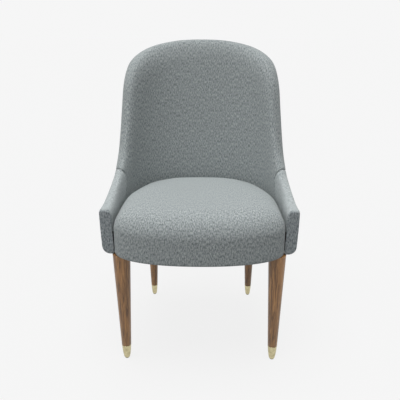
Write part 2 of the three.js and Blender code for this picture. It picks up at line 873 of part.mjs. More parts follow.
// A round drill for a leg's bolt, through the heights given.
function legDrill({ x, y, radius }, low, high) {
  const drill = turned([
    [0, low - overrun],
    [radius, low - overrun],
    [radius, high + overrun],
    [0, high + overrun],
  ], bolt_segments);
  drill.translate(x, y, 0);
  return drill;
}

// Mirror the right-hand outline of a block for the left side.
function sided(outline, sign) {
  return outline.map(([x, y]) => [sign * x, y]);
}

function frontBlock(sign) {
  const rail_face = insidePoint(half_length - side_rail_start, rail_low, shell_inside + gap + side_rail_thickness);
  const step_x = rail_face.x - gap;
  const outer_x = front_line[front_line.length - 1].x - gap;
  const step_y = side_rail_start - gap;
  const back_y = front_leg_setback + block_setback;
  const face = frontFace(block_inner_x, outer_x);
  const outline = [...face, [outer_x, step_y], [step_x, step_y], [step_x, back_y], [block_inner_x, back_y]];
  const holes = legHoles(front_leg).filter(({ x }) => Math.sign(x) === sign);
  return plate(sided(outline, sign), block_low, block_high, holes);
}

// The rear corner blocks fill the corner between a side rail's end and the rear rail's end.
const side_rail_end = back_rims[back_strand_count - side_rail_strand_count].landing;
const rear_rail_end = back_rims[back_strand_count - rear_rail_strand_count].landing;

function rearBlock(sign) {
  const near = shell_inside + gap;
  const spots = stations(rear_rail_end + gap, side_rail_end - gap).map((along) => sign * along);
  const last = spots.length - 1;
  const turn = Math.floor(last / 2);
  const levels = [block_low, block_high];
  const face = spots.map((along) => levels.map((z) => insidePoint(along, z, near)));
  const inner = spots.map((_, i) => levels.map((z) => {
    const rear_end = insidePoint(spots[0], z, near + rail_thickness);
    const side_end = insidePoint(spots[last], z, near + side_rail_thickness);
    const corner = new THREE.Vector3(rear_end.x, side_end.y, z);
    if (i < turn) return rear_end.lerp(corner, i / turn);
    return corner.lerp(side_end, (i - turn) / (last - turn));
  }));
  const holes = legHoles(rear_leg).filter(({ x }) => Math.sign(x) === sign);
  return drilled(slab(face, inner), holes.map((hole) => legDrill(hole, block_low, block_high)));
}

// Bolts through the bent boards into the rails, and the holes they pass through.
// A bolt stands square to the flat between two of the layers' own lines.
function alongBolt(profile, span) {
  const [left, right] = span.map((along) => insidePoint(along, bolt_z, shell_face));
  const middle = (span[0] + span[1]) / 2;
  const [low, high] = [-gap, gap].map((rise) => insidePoint(middle, bolt_z + rise, shell_face));
  const axis = right.clone().sub(left).cross(high.sub(low)).normalize();
  const place = left.lerp(right, 0.5);
  if (axis.dot(place.clone().sub(hub)) < 0) axis.negate();
  place.addScaledVector(axis, -bolt_head - bolt_clearance);
  const geometry = turned(profile, bolt_segments);
  const up = new THREE.Vector3(0, 0, 1);
  geometry.applyQuaternion(new THREE.Quaternion().setFromUnitVectors(up, axis));
  geometry.translate(place.x, place.y, place.z);
  return geometry;
}

function bolt(span) {
  return alongBolt([
    [0, -bolt_bite],
    [bolt_radius, -bolt_bite],
    [bolt_radius, 0],
    [bolt_head_radius, 0],
    [bolt_head_radius, bolt_head],
    [0, bolt_head],
  ], span);
}

function boltDrill(span) {
  const room = bolt_clearance;
  return alongBolt([
    [0, -bolt_bite - room],
    [bolt_radius + room, -bolt_bite - room],
    [bolt_radius + room, -room],
    [bolt_head_radius + room, -room],
    [bolt_head_radius + room, bolt_head + overrun],
    [0, bolt_head + overrun],
  ], span);
}

// The flats that take the bolts, on one side or the other.
function flat(rims, strand, sign) {
  const span = [rims[strand].landing, rims[strand + 1].landing];
  return sign > 0 ? span : span.map((along) => -along).reverse();
}

function armFlats(sign) {
  return arm_bolt_strand_counts.map((strand) => flat(arm_rims.right, strand, sign));
}

function wingFlat(sign) {
  return flat(back_rims, back_strand_count - wing_bolt_strand_count, sign);
}

function backFlat(sign) {
  return flat(back_rims, back_strand_count - back_bolt_strand_count, sign);
}

add('front_rail', frontRail(), hardwood);
const rear_rail = wallRail(-rear_rail_end, rear_rail_end, rail_thickness);
add('rear_rail', drilled(rear_rail, [-1, 1].map(backFlat).map(boltDrill)), hardwood);
for (const [side, sign] of sides) {
  const ends = [sign * side_rail_end, sign * (half_length - side_rail_start)].sort((a, b) => a - b);
  const rail = wallRail(...ends, side_rail_thickness);
  add(`side_rail_${side}`, drilled(rail, [...armFlats(sign), wingFlat(sign)].map(boltDrill)), hardwood);
  add(`front_block_${side}`, frontBlock(sign), hardwood);
  add(`rear_block_${side}`, rearBlock(sign), hardwood);
  armFlats(sign).forEach((span, i) => add(`arm_bolt_${side}_${i + 1}`, bolt(span), steel));
  add(`wing_bolt_${side}`, bolt(wingFlat(sign)), steel);
  add(`back_bolt_${side}`, bolt(backFlat(sign)), steel);
}

// The bent boards of the shell, with their padding and covers.
const back_flats = [-1, 1].flatMap((sign) => [wingFlat(sign), backFlat(sign)]);
add('back_board', drilled(wallBoard(back_rims), back_flats.map(boltDrill)), plywood);
add('back_foam', innerPadding(back_rims), foam);
add('inside_back_cover', innerCover(back_rims), fabric);
for (const [side, sign] of sides) {
  const rims = arm_rims[side];
  add(`arm_board_${side}`, drilled(wallBoard(rims), armFlats(sign).map(boltDrill)), plywood);
  add(`arm_foam_${side}`, innerPadding(rims), foam);
  add(`arm_cover_${side}`, innerCover(rims), fabric);
}
add('outside_wadding', outsideWadding(), wadding);

function outsideCover() {
  const face = (depth) => wall_rims.map((rim) => outerStrand(rim, depth));
  const drills = legHoles(rear_leg).map((hole) => legDrill(hole, underside_z, underside_z));
  return drilled(slab(face(0), face(cloth)), drills);
}
add('outside_cover', outsideCover(), fabric);

// The covered panel that closes an arm's front end.
function endPanel(sign) {
  const rim = rimAt(sign);
  const inset = end_panel_inset;
  const upright = (z) => new THREE.Vector2(rim.landing, z);
  const outline = [
    facePoint(upright(underside_z + inset), -1, inset),
    sittersPoint(rim, lineAt(rim, 0), inset),
    ...[...rim_insets].reverse().map((share) => rimPoint(rim, share, -1, inset)),
    ...rim_insets.map((share) => rimPoint(rim, share, 1, inset)),
    facePoint(lineAt(rim, 0), 1, inset),
    facePoint(upright(outer_foot), 1, inset),
    ...lower_turns.map((share) => lowerPoint(rim, share, inset)),
  ].map(({ x, z }) => new THREE.Vector2(x, z));
  const options = {
    depth: end_panel_thickness - 2 * end_panel_bevel,
    bevelThickness: end_panel_bevel,
    bevelSize: end_panel_bevel,
    bevelOffset: -end_panel_bevel,
    bevelSegments: 2,
  };
  const geometry = new THREE.ExtrudeGeometry(new THREE.Shape(outline), options);
  geometry.rotateX(Math.PI / 2);
  geometry.translate(0, end_panel_thickness - end_panel_bevel, 0);
  return outward(bare(geometry));
}
sides.forEach(([side, sign]) => add(`arm_end_panel_${side}`, endPanel(sign), fabric));

// Webbing: straps from front to back, and straps across that are laid over them.
function longStrap(x) {
  const half = strap_width / 2;
  const outer_x = Math.abs(x) + half;
  const front_y = frontFace(x - half, x + half).reduce((most, point) => Math.max(most, point[1]), -Infinity);
  const rear_y = insidePoint(outer_x, rail_top_z, shell_inside + gap).y;
  const low = rail_top_z + gap;
  const [near_y, far_y] = [front_y + strap_margin, rear_y - strap_margin];
  const outline = [[x - half, near_y], [x + half, near_y], [x + half, far_y], [x - half, far_y]];
  return plate(outline, low, low + strap_thickness);
}

// Half the clear width between the boards at a distance back.
function boardX(y) {
  const reaches = spread(0, half_length, reach_steps).map((along) => {
    return insidePoint(along, rail_top_z, shell_inside + gap);
  });
  const behind = reaches.findIndex((point) => point.y < y);
  return Math.min(reaches[behind].x, reaches[behind - 1].x);
}

function crossStrap(y) {
  const low = rail_top_z + gap;
  const high = low + strap_thickness + gap;
  const rail_x = boardX(y + strap_width / 2);
  const end_x = rail_x - strap_margin;
  const step_x = rail_x - side_rail_thickness;
  const flat_x = step_x - strap_step;
  const lower = [[-end_x, low], [-step_x, low], [-flat_x, high], [flat_x, high], [step_x, low], [end_x, low]];
  const upper = [...lower].reverse().map(([x, z]) => [x, z + strap_thickness]);
  const shape = new THREE.Shape([...lower, ...upper].map(([x, z]) => new THREE.Vector2(x, z)));
  const geometry = new THREE.ExtrudeGeometry(shape, { depth: strap_width, bevelEnabled: false });
  geometry.rotateX(Math.PI / 2);
  geometry.translate(0, y + strap_width / 2, 0);
  return outward(bare(geometry));
}

[-1, 0, 1].forEach((place, i) => add(`long_strap_${i + 1}`, longStrap(place * long_strap_spacing), webbing));
[0, 1, 2].forEach((place, i) => {
  add(`cross_strap_${i + 1}`, crossStrap(cross_strap_start + place * cross_strap_spacing), webbing);
});

// The thin cloth that closes the underside.
function dustCover() {
  const outline = seatLoop([seat_hem + 2 * gap, 0], [gap, 0]).map(({ x, y }) => [x, y]);
  const low = underside_z + gap;
  return plate(outline, low, low + dust_sheet, legHoles(front_leg));
}
add('dust_cover', dustCover(), lining);

// Set the chair down with the middle of its footprint on the origin.
const box = new THREE.Box3().setFromObject(group);
const centre = box.getCenter(new THREE.Vector3());
group.children.forEach((mesh) => mesh.geometry.translate(-centre.x, -centre.y, -box.min.z));

export default group;
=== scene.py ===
# %% [markdown]
# # An upholstered dining chair with a wrap-round back
# The chair is a padded shell that wraps round as back and arms, a crowned seat that sits between
# the arms, and four round walnut legs with brass tips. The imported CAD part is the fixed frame: it
# says where every piece is. This lesson dresses it. The boards, rails, blocks and bolts keep their
# CAD shapes and get real finishes, and the cloth, padding and turned parts are modelled anew.

# %% Load the frame and keep its size
import math
from bisect import bisect_left
from functools import reduce

import bmesh
import bpy
from mathutils import Matrix, Vector
from mathutils.geometry import interpolate_bezier


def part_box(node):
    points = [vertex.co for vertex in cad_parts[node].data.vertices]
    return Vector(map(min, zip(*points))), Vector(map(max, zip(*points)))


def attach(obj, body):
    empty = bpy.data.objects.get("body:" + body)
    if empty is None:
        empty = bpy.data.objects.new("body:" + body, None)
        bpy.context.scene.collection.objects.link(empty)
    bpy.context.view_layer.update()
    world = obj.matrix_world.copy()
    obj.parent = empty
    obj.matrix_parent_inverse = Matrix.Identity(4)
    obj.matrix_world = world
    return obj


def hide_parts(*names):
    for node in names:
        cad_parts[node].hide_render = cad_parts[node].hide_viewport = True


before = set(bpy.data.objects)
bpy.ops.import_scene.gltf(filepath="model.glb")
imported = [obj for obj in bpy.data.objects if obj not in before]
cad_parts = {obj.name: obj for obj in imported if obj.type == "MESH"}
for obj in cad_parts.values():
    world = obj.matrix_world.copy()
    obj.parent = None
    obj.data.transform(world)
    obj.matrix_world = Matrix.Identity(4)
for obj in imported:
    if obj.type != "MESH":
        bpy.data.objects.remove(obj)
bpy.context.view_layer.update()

scene = bpy.context.scene
mm = 0.001
arm_front_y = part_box("arm_end_panel_left")[0].y

# %% [markdown]
# ## The wall, in numbers
# A seamstress works on a bent wall as if it were flat: so far along it from the middle of the back,
# right positive, and so high. The same two measures drive the CAD part. The wall's plan is a
# squarish curve, drawn in under the arms and leaning back above the seat. Every pad and cover is
# placed on this wall, so the layers fit each other and the frame.

# %% The wall's plan and its lean
underside_z = 343 * mm
arm_top_z = 472 * mm
back_top_z = 905 * mm
arm_half_width = 273 * mm
shell_depth = 442.5 * mm
arm_thickness = 34 * mm
back_thickness = 72.5 * mm
rim_side_thickness = 44 * mm
rim_back_thickness = 50 * mm
arm_straight = 100 * mm
outer_squareness = 3.8
inner_squareness = 3.2
upright_z = 420 * mm
side_draw_share = 0.05
side_ease = 40 * mm
recline = math.radians(10)
lean_start_z = 480 * mm
lean_ease = 70 * mm
plan_steps = 240


def lerp(low, high, share):
    return low + (high - low) * share


def clamped(share):
    return min(max(share, 0), 1)


def smooth_step(share):
    share = clamped(share)
    return share * share * (3 - 2 * share)


def plan_curve(angle, half_width, depth, squareness):
    across = max(math.cos(angle), 0) ** (2 / squareness)
    back = max(math.sin(angle), 0) ** (2 / squareness)
    return half_width * across, arm_straight + (depth - arm_straight) * back


def outer_half_width(z):
    drop = upright_z - z
    return arm_half_width - side_draw_share * (drop + math.hypot(drop, side_ease)) / 2


def outer_depth(z):
    rise = z - lean_start_z
    return shell_depth + math.tan(recline) * (rise + math.hypot(rise, lean_ease)) / 2


def thinning(z):
    return clamped((z - arm_top_z) / (back_top_z - arm_top_z))


def inner_half_width(z):
    return outer_half_width(z) - lerp(arm_thickness, rim_side_thickness, thinning(z))


def inner_depth(z):
    return outer_depth(z) - lerp(back_thickness, rim_back_thickness, thinning(z))


def lengths_run(points):
    """The length run from the first point to each."""
    lengths = [0]
    for last, point in zip(points, points[1:]):
        lengths.append(lengths[-1] + math.dist(last, point))
    return lengths


def step_at(share, lengths):
    """The step that holds a share of the whole length, and how far along it that is."""
    wanted = share * lengths[-1]
    i = min(max(bisect_left(lengths, wanted), 1), len(lengths) - 1)
    return i, clamped((wanted - lengths[i - 1]) / (lengths[i] - lengths[i - 1]))


def length_table(half_width, depth, squareness):
    """Angles round the plan curve at the arm's height, and the length run at each."""
    angles = [math.pi / 2 * smooth_step(i / plan_steps) for i in range(plan_steps + 1)]
    sizes = half_width(arm_top_z), depth(arm_top_z), squareness
    return angles, lengths_run([plan_curve(angle, *sizes) for angle in angles])


def angle_at(share, table):
    angles, lengths = table
    i, part = step_at(share, lengths)
    return lerp(angles[i - 1], angles[i], part)


inner_face = inner_half_width, inner_depth, inner_squareness
outer_face = outer_half_width, outer_depth, outer_squareness
inner_table, outer_table = length_table(*inner_face), length_table(*outer_face)
curved_length = outer_table[1][-1]
half_length = arm_straight + curved_length
print("the wall is", round(2 * half_length, 3), "m long from arm front to arm front")

# %% Points in the wall


def wall_ends(along, z):
    """The sitter's face and the outside face of the wall at one place."""
    side = -1 if along < 0 else 1
    from_front = half_length - abs(along)
    ends = []
    for table, face in ((inner_table, inner_face), (outer_table, outer_face)):
        half_width, depth, squareness = face
        x, y = half_width(z), from_front
        if from_front >= arm_straight:
            angle = angle_at((from_front - arm_straight) / curved_length, table)
            x, y = plan_curve(angle, x, depth(z), squareness)
        ends.append(Vector((side * x, y + arm_front_y, z)))
    return ends


def wall_point(spot, side, depth):
    """A point at a depth under the sitter's face, side -1, under the outside, 1, or between."""
    inner, outer = wall_ends(*spot)
    return inner.lerp(outer, 0.5 + side * (0.5 - depth / (outer - inner).length))


print("the back leans to y =", round(wall_point((0, back_top_z), 1, 0).y, 4))

# %% [markdown]
# ## The rim
# The rim runs level along the arm, sweeps up the wing and crosses the top of the back. It is one
# smooth line through a few rows of shares, drawn as Bezier pieces whose handles come from the points
# on either side.

# %% Trace the rim's run
rim_depth = 20 * mm
arm_roll_depth = 28 * mm
back_roll_depth = 70 * mm
rim_squareness = 2.4
arm_edge_squareness = 7
trace_steps = 60
search_steps = 40
# How far along the wall, how far up and how far along the line below lands.
rim_shares = [
    (0, 0, 0),
    (0.1, 0, 0.1),
    (0.2, 0.022, 0.195),
    (0.3, 0.059, 0.285),
    (0.371, 0.105, 0.355),
    (0.435, 0.21, 0.415),
    (0.47, 0.345, 0.48),
    (0.497, 0.506, 0.545),
    (0.523, 0.685, 0.61),
    (0.559, 0.8, 0.665),
    (0.6, 0.866, 0.72),
    (0.7, 0.942, 0.79),
    (0.84, 0.988, 0.88),
    (1, 1, 1),
]


def tangent(before, here, after):
    """The way a smooth curve goes at a point between two others."""
    first, second = [math.sqrt(gap.length) for gap in (here - before, after - here)]
    return (here - before) / first - (after - before) / (first + second) + (after - here) / second


def through_points(knots):
    """Many points on the smooth curve through all the knots."""
    ends = [2 * knots[0] - knots[1], *knots, 2 * knots[-1] - knots[-2]]
    trace = [knots[0]]
    for before, start, stop, after in zip(ends, ends[1:], ends[2:], ends[3:]):
        gap = math.sqrt((stop - start).length)
        leave = start + tangent(before, start, stop) * gap / 3
        land = stop - tangent(start, stop, after) * gap / 3
        trace += interpolate_bezier(start, leave, land, stop, trace_steps)[1:]
    return trace


right_half = [
    Vector(((1 - along) * half_length, lerp(arm_top_z, back_top_z, rise), (1 - landing) * half_length))
    for along, rise, landing in rim_shares
]
left_half = [Vector((-row.x, row.y, -row.z)) for row in right_half]
rim_trace = through_points([*left_half, *right_half[-2::-1]])
rim_lengths = lengths_run(rim_trace)
rim_length = rim_lengths[-1]


def rim_at(place):
    """The rim from -1, the left arm's front, to 1: its spot, its landing and the way inwards."""
    i, part = step_at((place + 1) / 2, rim_lengths)
    point = rim_trace[i - 1].lerp(rim_trace[i], part)
    run = (rim_trace[min(i + 1, len(rim_trace) - 1)] - rim_trace[max(i - 2, 0)]).xy.normalized()
    return {"spot": point.xy, "landing": point.z, "inward": Vector((run.y, -run.x))}


def place_from_front(distance):
    """The place on the right half whose rim is this far back from the arm's front."""
    low, high = 0, 1
    for _ in range(search_steps):
        middle = (low + high) / 2
        if rim_at(middle)["spot"].x < half_length - distance:
            low = middle
        else:
            high = middle
    return (low + high) / 2


wing_seam_share = 0.385
end_panel_thickness = 8 * mm
end_gap = 0.5 * mm
seam_gap = 0.5 * mm
end_place = place_from_front(end_panel_thickness + end_gap)
seam_place = place_from_front(half_length * wing_seam_share)
print("the rim is", round(rim_length, 3), "m long; wing seams at", round(seam_place, 3))

# %% Lines down from the rim, and round over it
leave_share = 0.35
land_share = 0.3
tuck_z = 407 * mm
lower_radius = 22 * mm
outer_foot = underside_z + lower_radius
round_count = 8


def inset_at(rim, inset):
    return rim["spot"] + rim["inward"] * inset


def spots_below(rim, heights):
    return [Vector((rim["landing"], z)) for z in heights]


def line_at(rim, run):
    """A spot on the line that leaves the rim squarely and lands beside the seat."""
    start = inset_at(rim, rim_depth)
    foot = Vector((rim["landing"], tuck_z))
    reach = (foot - start).length
    leave = start + rim["inward"] * reach * leave_share
    land = foot + Vector((0, reach * land_share))
    rest = 1 - run
    return start * rest**3 + leave * 3 * rest**2 * run + land * 3 * rest * run**2 + foot * run**3


def by_place(rim, at_arm, at_back):
    """A value that changes from the arm's front to the wing's seam."""
    return lerp(at_arm, at_back, smooth_step((1 - abs(rim["spot"].x) / half_length) / wing_seam_share))


def sitters_point(rim, spot, depth):
    """A point under the sitter's face, which rolls softly outwards on its way up to the rim."""
    inset = (Vector(spot) - rim["spot"]).length
    away = 1 - clamped((inset - depth) / (by_place(rim, arm_roll_depth, back_roll_depth) - depth))
    return wall_point(spot, -((1 - away**rim_squareness) ** (1 / rim_squareness)), depth)


def rim_point(rim, turn, side, depth):
    """A point on the rolled rim. turn goes from 0 at its top to 1 where the face begins."""
    angle = math.pi / 2 * turn
    power = rim_squareness if side < 0 else by_place(rim, arm_edge_squareness, rim_squareness)
    spot = inset_at(rim, lerp(depth, rim_depth, 1 - max(math.cos(angle), 0) ** (2 / power)))
    if side < 0:
        return sitters_point(rim, spot, depth)
    return wall_point(spot, math.sin(angle) ** (2 / power), depth)


print("a line from the top of the back lands at", line_at(rim_at(0), 1))

# %% [markdown]
# ## From a flat grid to a padded cover
# Each cover starts as a flat grid, like cloth on a table. Its vertices are laid on the wall, the
# sheet is extruded once, and the new vertices go to the far side of the padding. That makes a closed
# pad whose walls are its seams. A UV map keeps each point's place on the flat cloth in metres, so
# the weave follows the surface at its true size.

# %% A grid laid on a surface and closed into a pad


def spread(first, last, count):
    return [lerp(first, last, i / count) for i in range(count + 1)]


def grid_mesh(columns, rows):
    """A flat grid whose vertices know their column and row."""
    bm = bmesh.new()
    number = bm.verts.layers.int.new("number")
    bmesh.ops.create_grid(bm, x_segments=columns - 1, y_segments=rows - 1, size=1)
    for vert in bm.verts:
        column = round((vert.co.x + 1) / 2 * (columns - 1))
        row = round((vert.co.y + 1) / 2 * (rows - 1))
        vert[number] = column * rows + row
    return bm, number


def laid(bm, number, verts, strands):
    rows = len(strands[0])
    for vert in verts:
        vert.co = strands[vert[number] // rows][vert[number] % rows]


def points_of(made):
    return [item for item in made["geom"] if isinstance(item, bmesh.types.BMVert)]


def mapped(bm, cloth_place):
    """Note each corner's place on the flat cloth, which depends on its vertex."""
    uv = bm.loops.layers.uv.new("Cloth")
    for face in bm.faces:
        for loop in face.loops:
            loop[uv].uv = cloth_place(loop.vert)
    return bm


def closed_pad(strands):
    """A closed pad. Each strand has its points near and far and its places on the flat cloth."""
    near, far, cloth = zip(*strands)
    rows = len(near[0])
    bm, number = grid_mesh(len(near), rows)
    laid(bm, number, bm.verts, near)
    grown = bmesh.ops.extrude_face_region(bm, geom=bm.faces[:], use_keep_orig=True)
    laid(bm, number, points_of(grown), far)
    return mapped(bm, lambda vert: cloth[vert[number] // rows][vert[number] % rows])


def placed(name, data):
    """A new object in the scene for a mesh, a lamp or a camera."""
    item = bpy.data.objects.new(name, data)
    scene.collection.objects.link(item)
    return item


def finished(bm, name, smooth=True, levels=0):
    """Turn a bmesh into a named object at the origin that rides on the chair."""
    bmesh.ops.recalc_face_normals(bm, faces=bm.faces)
    mesh = bpy.data.meshes.new(name)
    for face in bm.faces:
        face.smooth = smooth
    bm.to_mesh(mesh)
    bm.free()
    piece = placed(name, mesh)
    if levels:
        subdivision = piece.modifiers.new("Subdivision", "SUBSURF")
        subdivision.levels = subdivision.render_levels = levels
    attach(piece, "root")
    print(name, len(mesh.polygons), "faces")
    return piece


# %% [markdown]
# ## Rounded seams
# Where two covers meet, both edges turn in and are sewn together, so a seam is a soft furrow rather
# than a line. The furrow is a quarter round: its depth depends only on the distance to the seam.

# %% How deep a cover lies near its seam
seam_roll = 3.2 * mm
wing_seam_roll = 5.5 * mm
furrow_shares = 0.04, 0.15, 0.32, 0.55, 1
furrow_reach_share = 1.6
first_tuck_share = 0.25
cover_thickness = 1.6 * mm
layer_gap = 0.3 * mm
outer_padding = 4 * mm
board = 12 * mm
shell_top_inset = 16 * mm
shell_face = cover_thickness + outer_padding + 2 * layer_gap
shell_inside = shell_face + board


def furrow(distance, roll=seam_roll):
    away = 1 - clamped(distance / roll)
    return roll * (1 - math.sqrt(1 - away * away))


def edged(first, last, count, roll_share):
    """Evenly spaced places, with a few more in the furrow at either end."""
    places = spread(first, last, count)
    fine = [roll_share * step for step in furrow_shares]
    start = [first + step for step in fine]
    stop = [last - step for step in reversed(fine)]
    reach = roll_share * furrow_reach_share
    middle = [place for place in places if first + reach < place < last - reach]
    return [first] + start + middle + stop + [last]


seam_roll_share = seam_roll / rim_length * 2
seam_step = seam_gap / rim_length
print("furrow at the seam:", furrow(0), "and one roll away:", furrow(seam_roll))

# %% Strands of a cover that runs up the sitter's side and over the rim
down_count = 44
back_columns = 150
arm_columns = 46
roll_turns = spread(0, 1, round_count)[1:]


def inner_strand(rim, sunk):
    """Points up the sitter's side and over the rim, and their places on the flat cloth."""
    runs = spread(1, 0, down_count)
    spots = [line_at(rim, run) for run in runs]
    points = [sitters_point(rim, spot, sunk) for spot in spots]
    roll = [rim_point(rim, turn, -1, sunk) for turn in roll_turns[-2::-1]]
    roll.append(rim_point(rim, 0, 1, sunk))
    roll += [rim_point(rim, turn, 1, sunk) for turn in roll_turns]
    hem = inset_at(rim, rim_depth)
    roll += [wall_point(hem, 1, sunk + seam_roll * part) for part in (first_tuck_share, 1)]
    travelled = 0
    for last, point in zip([points[-1], *roll], roll):
        travelled += (point - last).length
        spots.append(hem - rim["inward"] * travelled)
    return points + roll, spots


def padding_strand(rim, count):
    """The far side of the same padding: down the board and lapped over its top edge."""
    near_board = shell_inside + layer_gap
    points = [wall_point(line_at(rim, run), 1, near_board) for run in spread(1, 0, down_count)]
    top = inset_at(rim, shell_top_inset - layer_gap)
    lap = count - len(points)
    for share in spread(0, 1, lap - 2):
        points.append(wall_point(top, 1, lerp(near_board, shell_face - layer_gap, share)))
    points.append(wall_point(inset_at(rim, rim_depth), 1, shell_face - layer_gap))
    return points


def inner_pad(places, seams):
    """A pad whose cover sinks at its seams, each given as a place and the roll of its edge."""
    strands = []
    for place in places:
        rim = rim_at(place)
        sunk = max(furrow(abs(place - seam) * rim_length / 2, roll) for seam, roll in seams)
        points, spots = inner_strand(rim, sunk)
        strands.append((points, padding_strand(rim, len(points)), spots))
    return closed_pad(strands)


back_edge = seam_place - seam_step
back_places = edged(-back_edge, back_edge, back_columns, seam_roll_share)
back_seams = [(-back_edge, wing_seam_roll), (back_edge, wing_seam_roll)]
inside_back = finished(inner_pad(back_places, back_seams), "inside_back_pad", levels=1)

sides = {"left": -1, "right": 1}
arm_pads = {}
for side, sign in sides.items():
    front, rear = sign * end_place, sign * (seam_place + seam_step)
    arm_places = edged(*sorted((front, rear)), arm_columns, seam_roll_share)
    arm_seams = [(front, seam_roll), (rear, wing_seam_roll)]
    arm_pads[side] = finished(inner_pad(arm_places, arm_seams), f"arm_pad_{side}", levels=1)

# %% [markdown]
# ## The outside cover
# The outside is one thin padded skin. It starts in the furrow just under the rim, runs down the
# boards, turns in round the lower edge and ends in a hem under the shell.

# %% Outside skin
under_hem = 3 * mm
outer_columns = 210
outer_rows = 34
foot_rows = 3
quarter_turns = spread(0, math.pi / 2, round_count)[1:]


def lower_round(rim, depth):
    """Points round the shell's lower edge, at a depth under its outside."""
    radius = lower_radius - depth
    spots = spots_below(rim, [outer_foot - radius * math.sin(turn) for turn in quarter_turns])
    depths = [lower_radius - radius * math.cos(turn) for turn in quarter_turns]
    return [wall_point(spot, 1, deep) for spot, deep in zip(spots, depths)]


def outer_strand(rim, sunk, face_depth):
    """Points from under the rim to the hem, at a depth, and their flat cloth places."""
    top = inset_at(rim, rim_depth + seam_gap)
    spots = [top, top, *[line_at(rim, run) for run in spread(0, 1, outer_rows)[1:]]]
    spots += spots_below(rim, spread(tuck_z, outer_foot, foot_rows)[1:])
    depths = [sunk + seam_roll, sunk + seam_roll * first_tuck_share] + [sunk] * (len(spots) - 2)
    points = [wall_point(spot, 1, max(depth, face_depth)) for spot, depth in zip(spots, depths)]
    face_depth = max(face_depth, sunk)
    points += lower_round(rim, face_depth)
    spots += spots_below(rim, [outer_foot - lower_radius * turn for turn in quarter_turns])
    foot = (rim["landing"], outer_foot - (lower_radius - face_depth))
    inner, outer = wall_ends(*foot)
    hem = (outer - inner).length - under_hem
    for depth in spread(lower_radius, hem, 2)[1:]:
        points.append(wall_point(foot, 1, depth))
        spots.append(spots[-1] - Vector((0, (hem - lower_radius) / 2)))
    return points, spots


def outside_skin():
    strands = []
    for place in edged(-end_place, end_place, outer_columns, seam_roll_share):
        rim = rim_at(place)
        reach = (end_place - abs(place)) * rim_length / 2
        points, spots = outer_strand(rim, furrow(reach), 0)
        strands.append((points, outer_strand(rim, 0, shell_face - layer_gap)[0], spots))
    return closed_pad(strands)


outside = finished(outside_skin(), "outside_back_skin", levels=1)

# %% [markdown]
# ## The arms' front panels
# Each arm ends in a small upholstered board, nailed on from behind. A face drawn round the arm's
# own section is extruded for the board and inset four times for the padded front.

# %% Panels on the arms' fronts
panel_inset = 0.6 * mm
panel_edge = 2.4 * mm
panel_rows = {"inner": 14, "rim": 10, "outer": 10}
# The steps of a padded front, each inwards and forwards.
panel_steps = [(0.35 * mm, 1.1 * mm), (0.7 * mm, 0.75 * mm), (1.6 * mm, 0.45 * mm), (3 * mm, 0.1 * mm)]


def panel_outline(sign):
    """The arm's section at its front, a little inside the covers."""
    rim = rim_at(sign)
    top_z = line_at(rim, 0).y
    spots = spots_below(rim, spread(underside_z + panel_inset, top_z, panel_rows["inner"]))
    points = [sitters_point(rim, spot, panel_inset) for spot in spots]
    points += [rim_point(rim, turn, -1, panel_inset) for turn in spread(1, 0, round_count)[1:]]
    points += [rim_point(rim, turn, 1, panel_inset) for turn in spread(0, 1, panel_rows["rim"])[1:]]
    spots = spots_below(rim, spread(top_z, outer_foot, panel_rows["outer"])[1:])
    points += [wall_point(spot, 1, panel_inset) for spot in spots]
    points += lower_round(rim, panel_inset)
    return [Vector((point.x, arm_front_y + end_panel_thickness, point.z)) for point in points]


def panel(sign):
    bm = bmesh.new()
    verts = [bm.verts.new(point) for point in panel_outline(sign)]
    face = bmesh.ops.contextual_create(bm, geom=verts)["faces"]
    bmesh.ops.recalc_face_normals(bm, faces=face)
    if face[0].normal.y > 0:
        bmesh.ops.reverse_faces(bm, faces=face)
    walls = bmesh.ops.extrude_face_region(bm, geom=face, use_keep_orig=True)
    front = [item for item in walls["geom"] if isinstance(item, bmesh.types.BMFace)]
    bmesh.ops.translate(bm, verts=points_of(walls), vec=(0, panel_edge - end_panel_thickness, 0))
    for inwards, forwards in panel_steps:
        bmesh.ops.inset_region(
            bm, faces=front, thickness=inwards, depth=forwards, use_even_offset=True
        )
    return mapped(bm, lambda vert: vert.co.xz)


arm_fronts = {
    side: finished(panel(sign), f"arm_front_{side}", levels=1) for side, sign in sides.items()
}

# %% [markdown]
# ## The seat
# The seat pad is crowned foam under tight cloth, with a bowed nose in front and the shell's own
# inner curve behind. It is a grid rolled into a ring, with poles in the middle of its top and of its
# underside, and a thin skirt that hides the front rail.

# %% The seat's plan
seat_crown_z = 482 * mm
seat_edge_z = 415 * mm
seat_rear_edge_z = 458 * mm
seat_nose = 97 * mm
seat_nose_squareness = 2.2
seat_widest_setback = 17.3 * mm
seat_side_gap = 0.6 * mm
seat_centre_share = 0.42
seat_straight_share = 0.25
seat_rise_start = 240 * mm
seat_rise_end = 400 * mm
seat_rear_power = 2.4
seat_front_power = 12
seat_skirt = 6.4 * mm
seat_base_z = 406.9 * mm
seat_columns = 120
quarter_share = 0.25
front_end_share = 0.235
front_fade_share = 0.015
rail_top_z = 403 * mm
seat_half_width = inner_half_width(rail_top_z) - seat_side_gap
seat_depth = inner_depth(rail_top_z) - seat_side_gap
seat_centre = Vector((0, seat_depth * seat_centre_share))


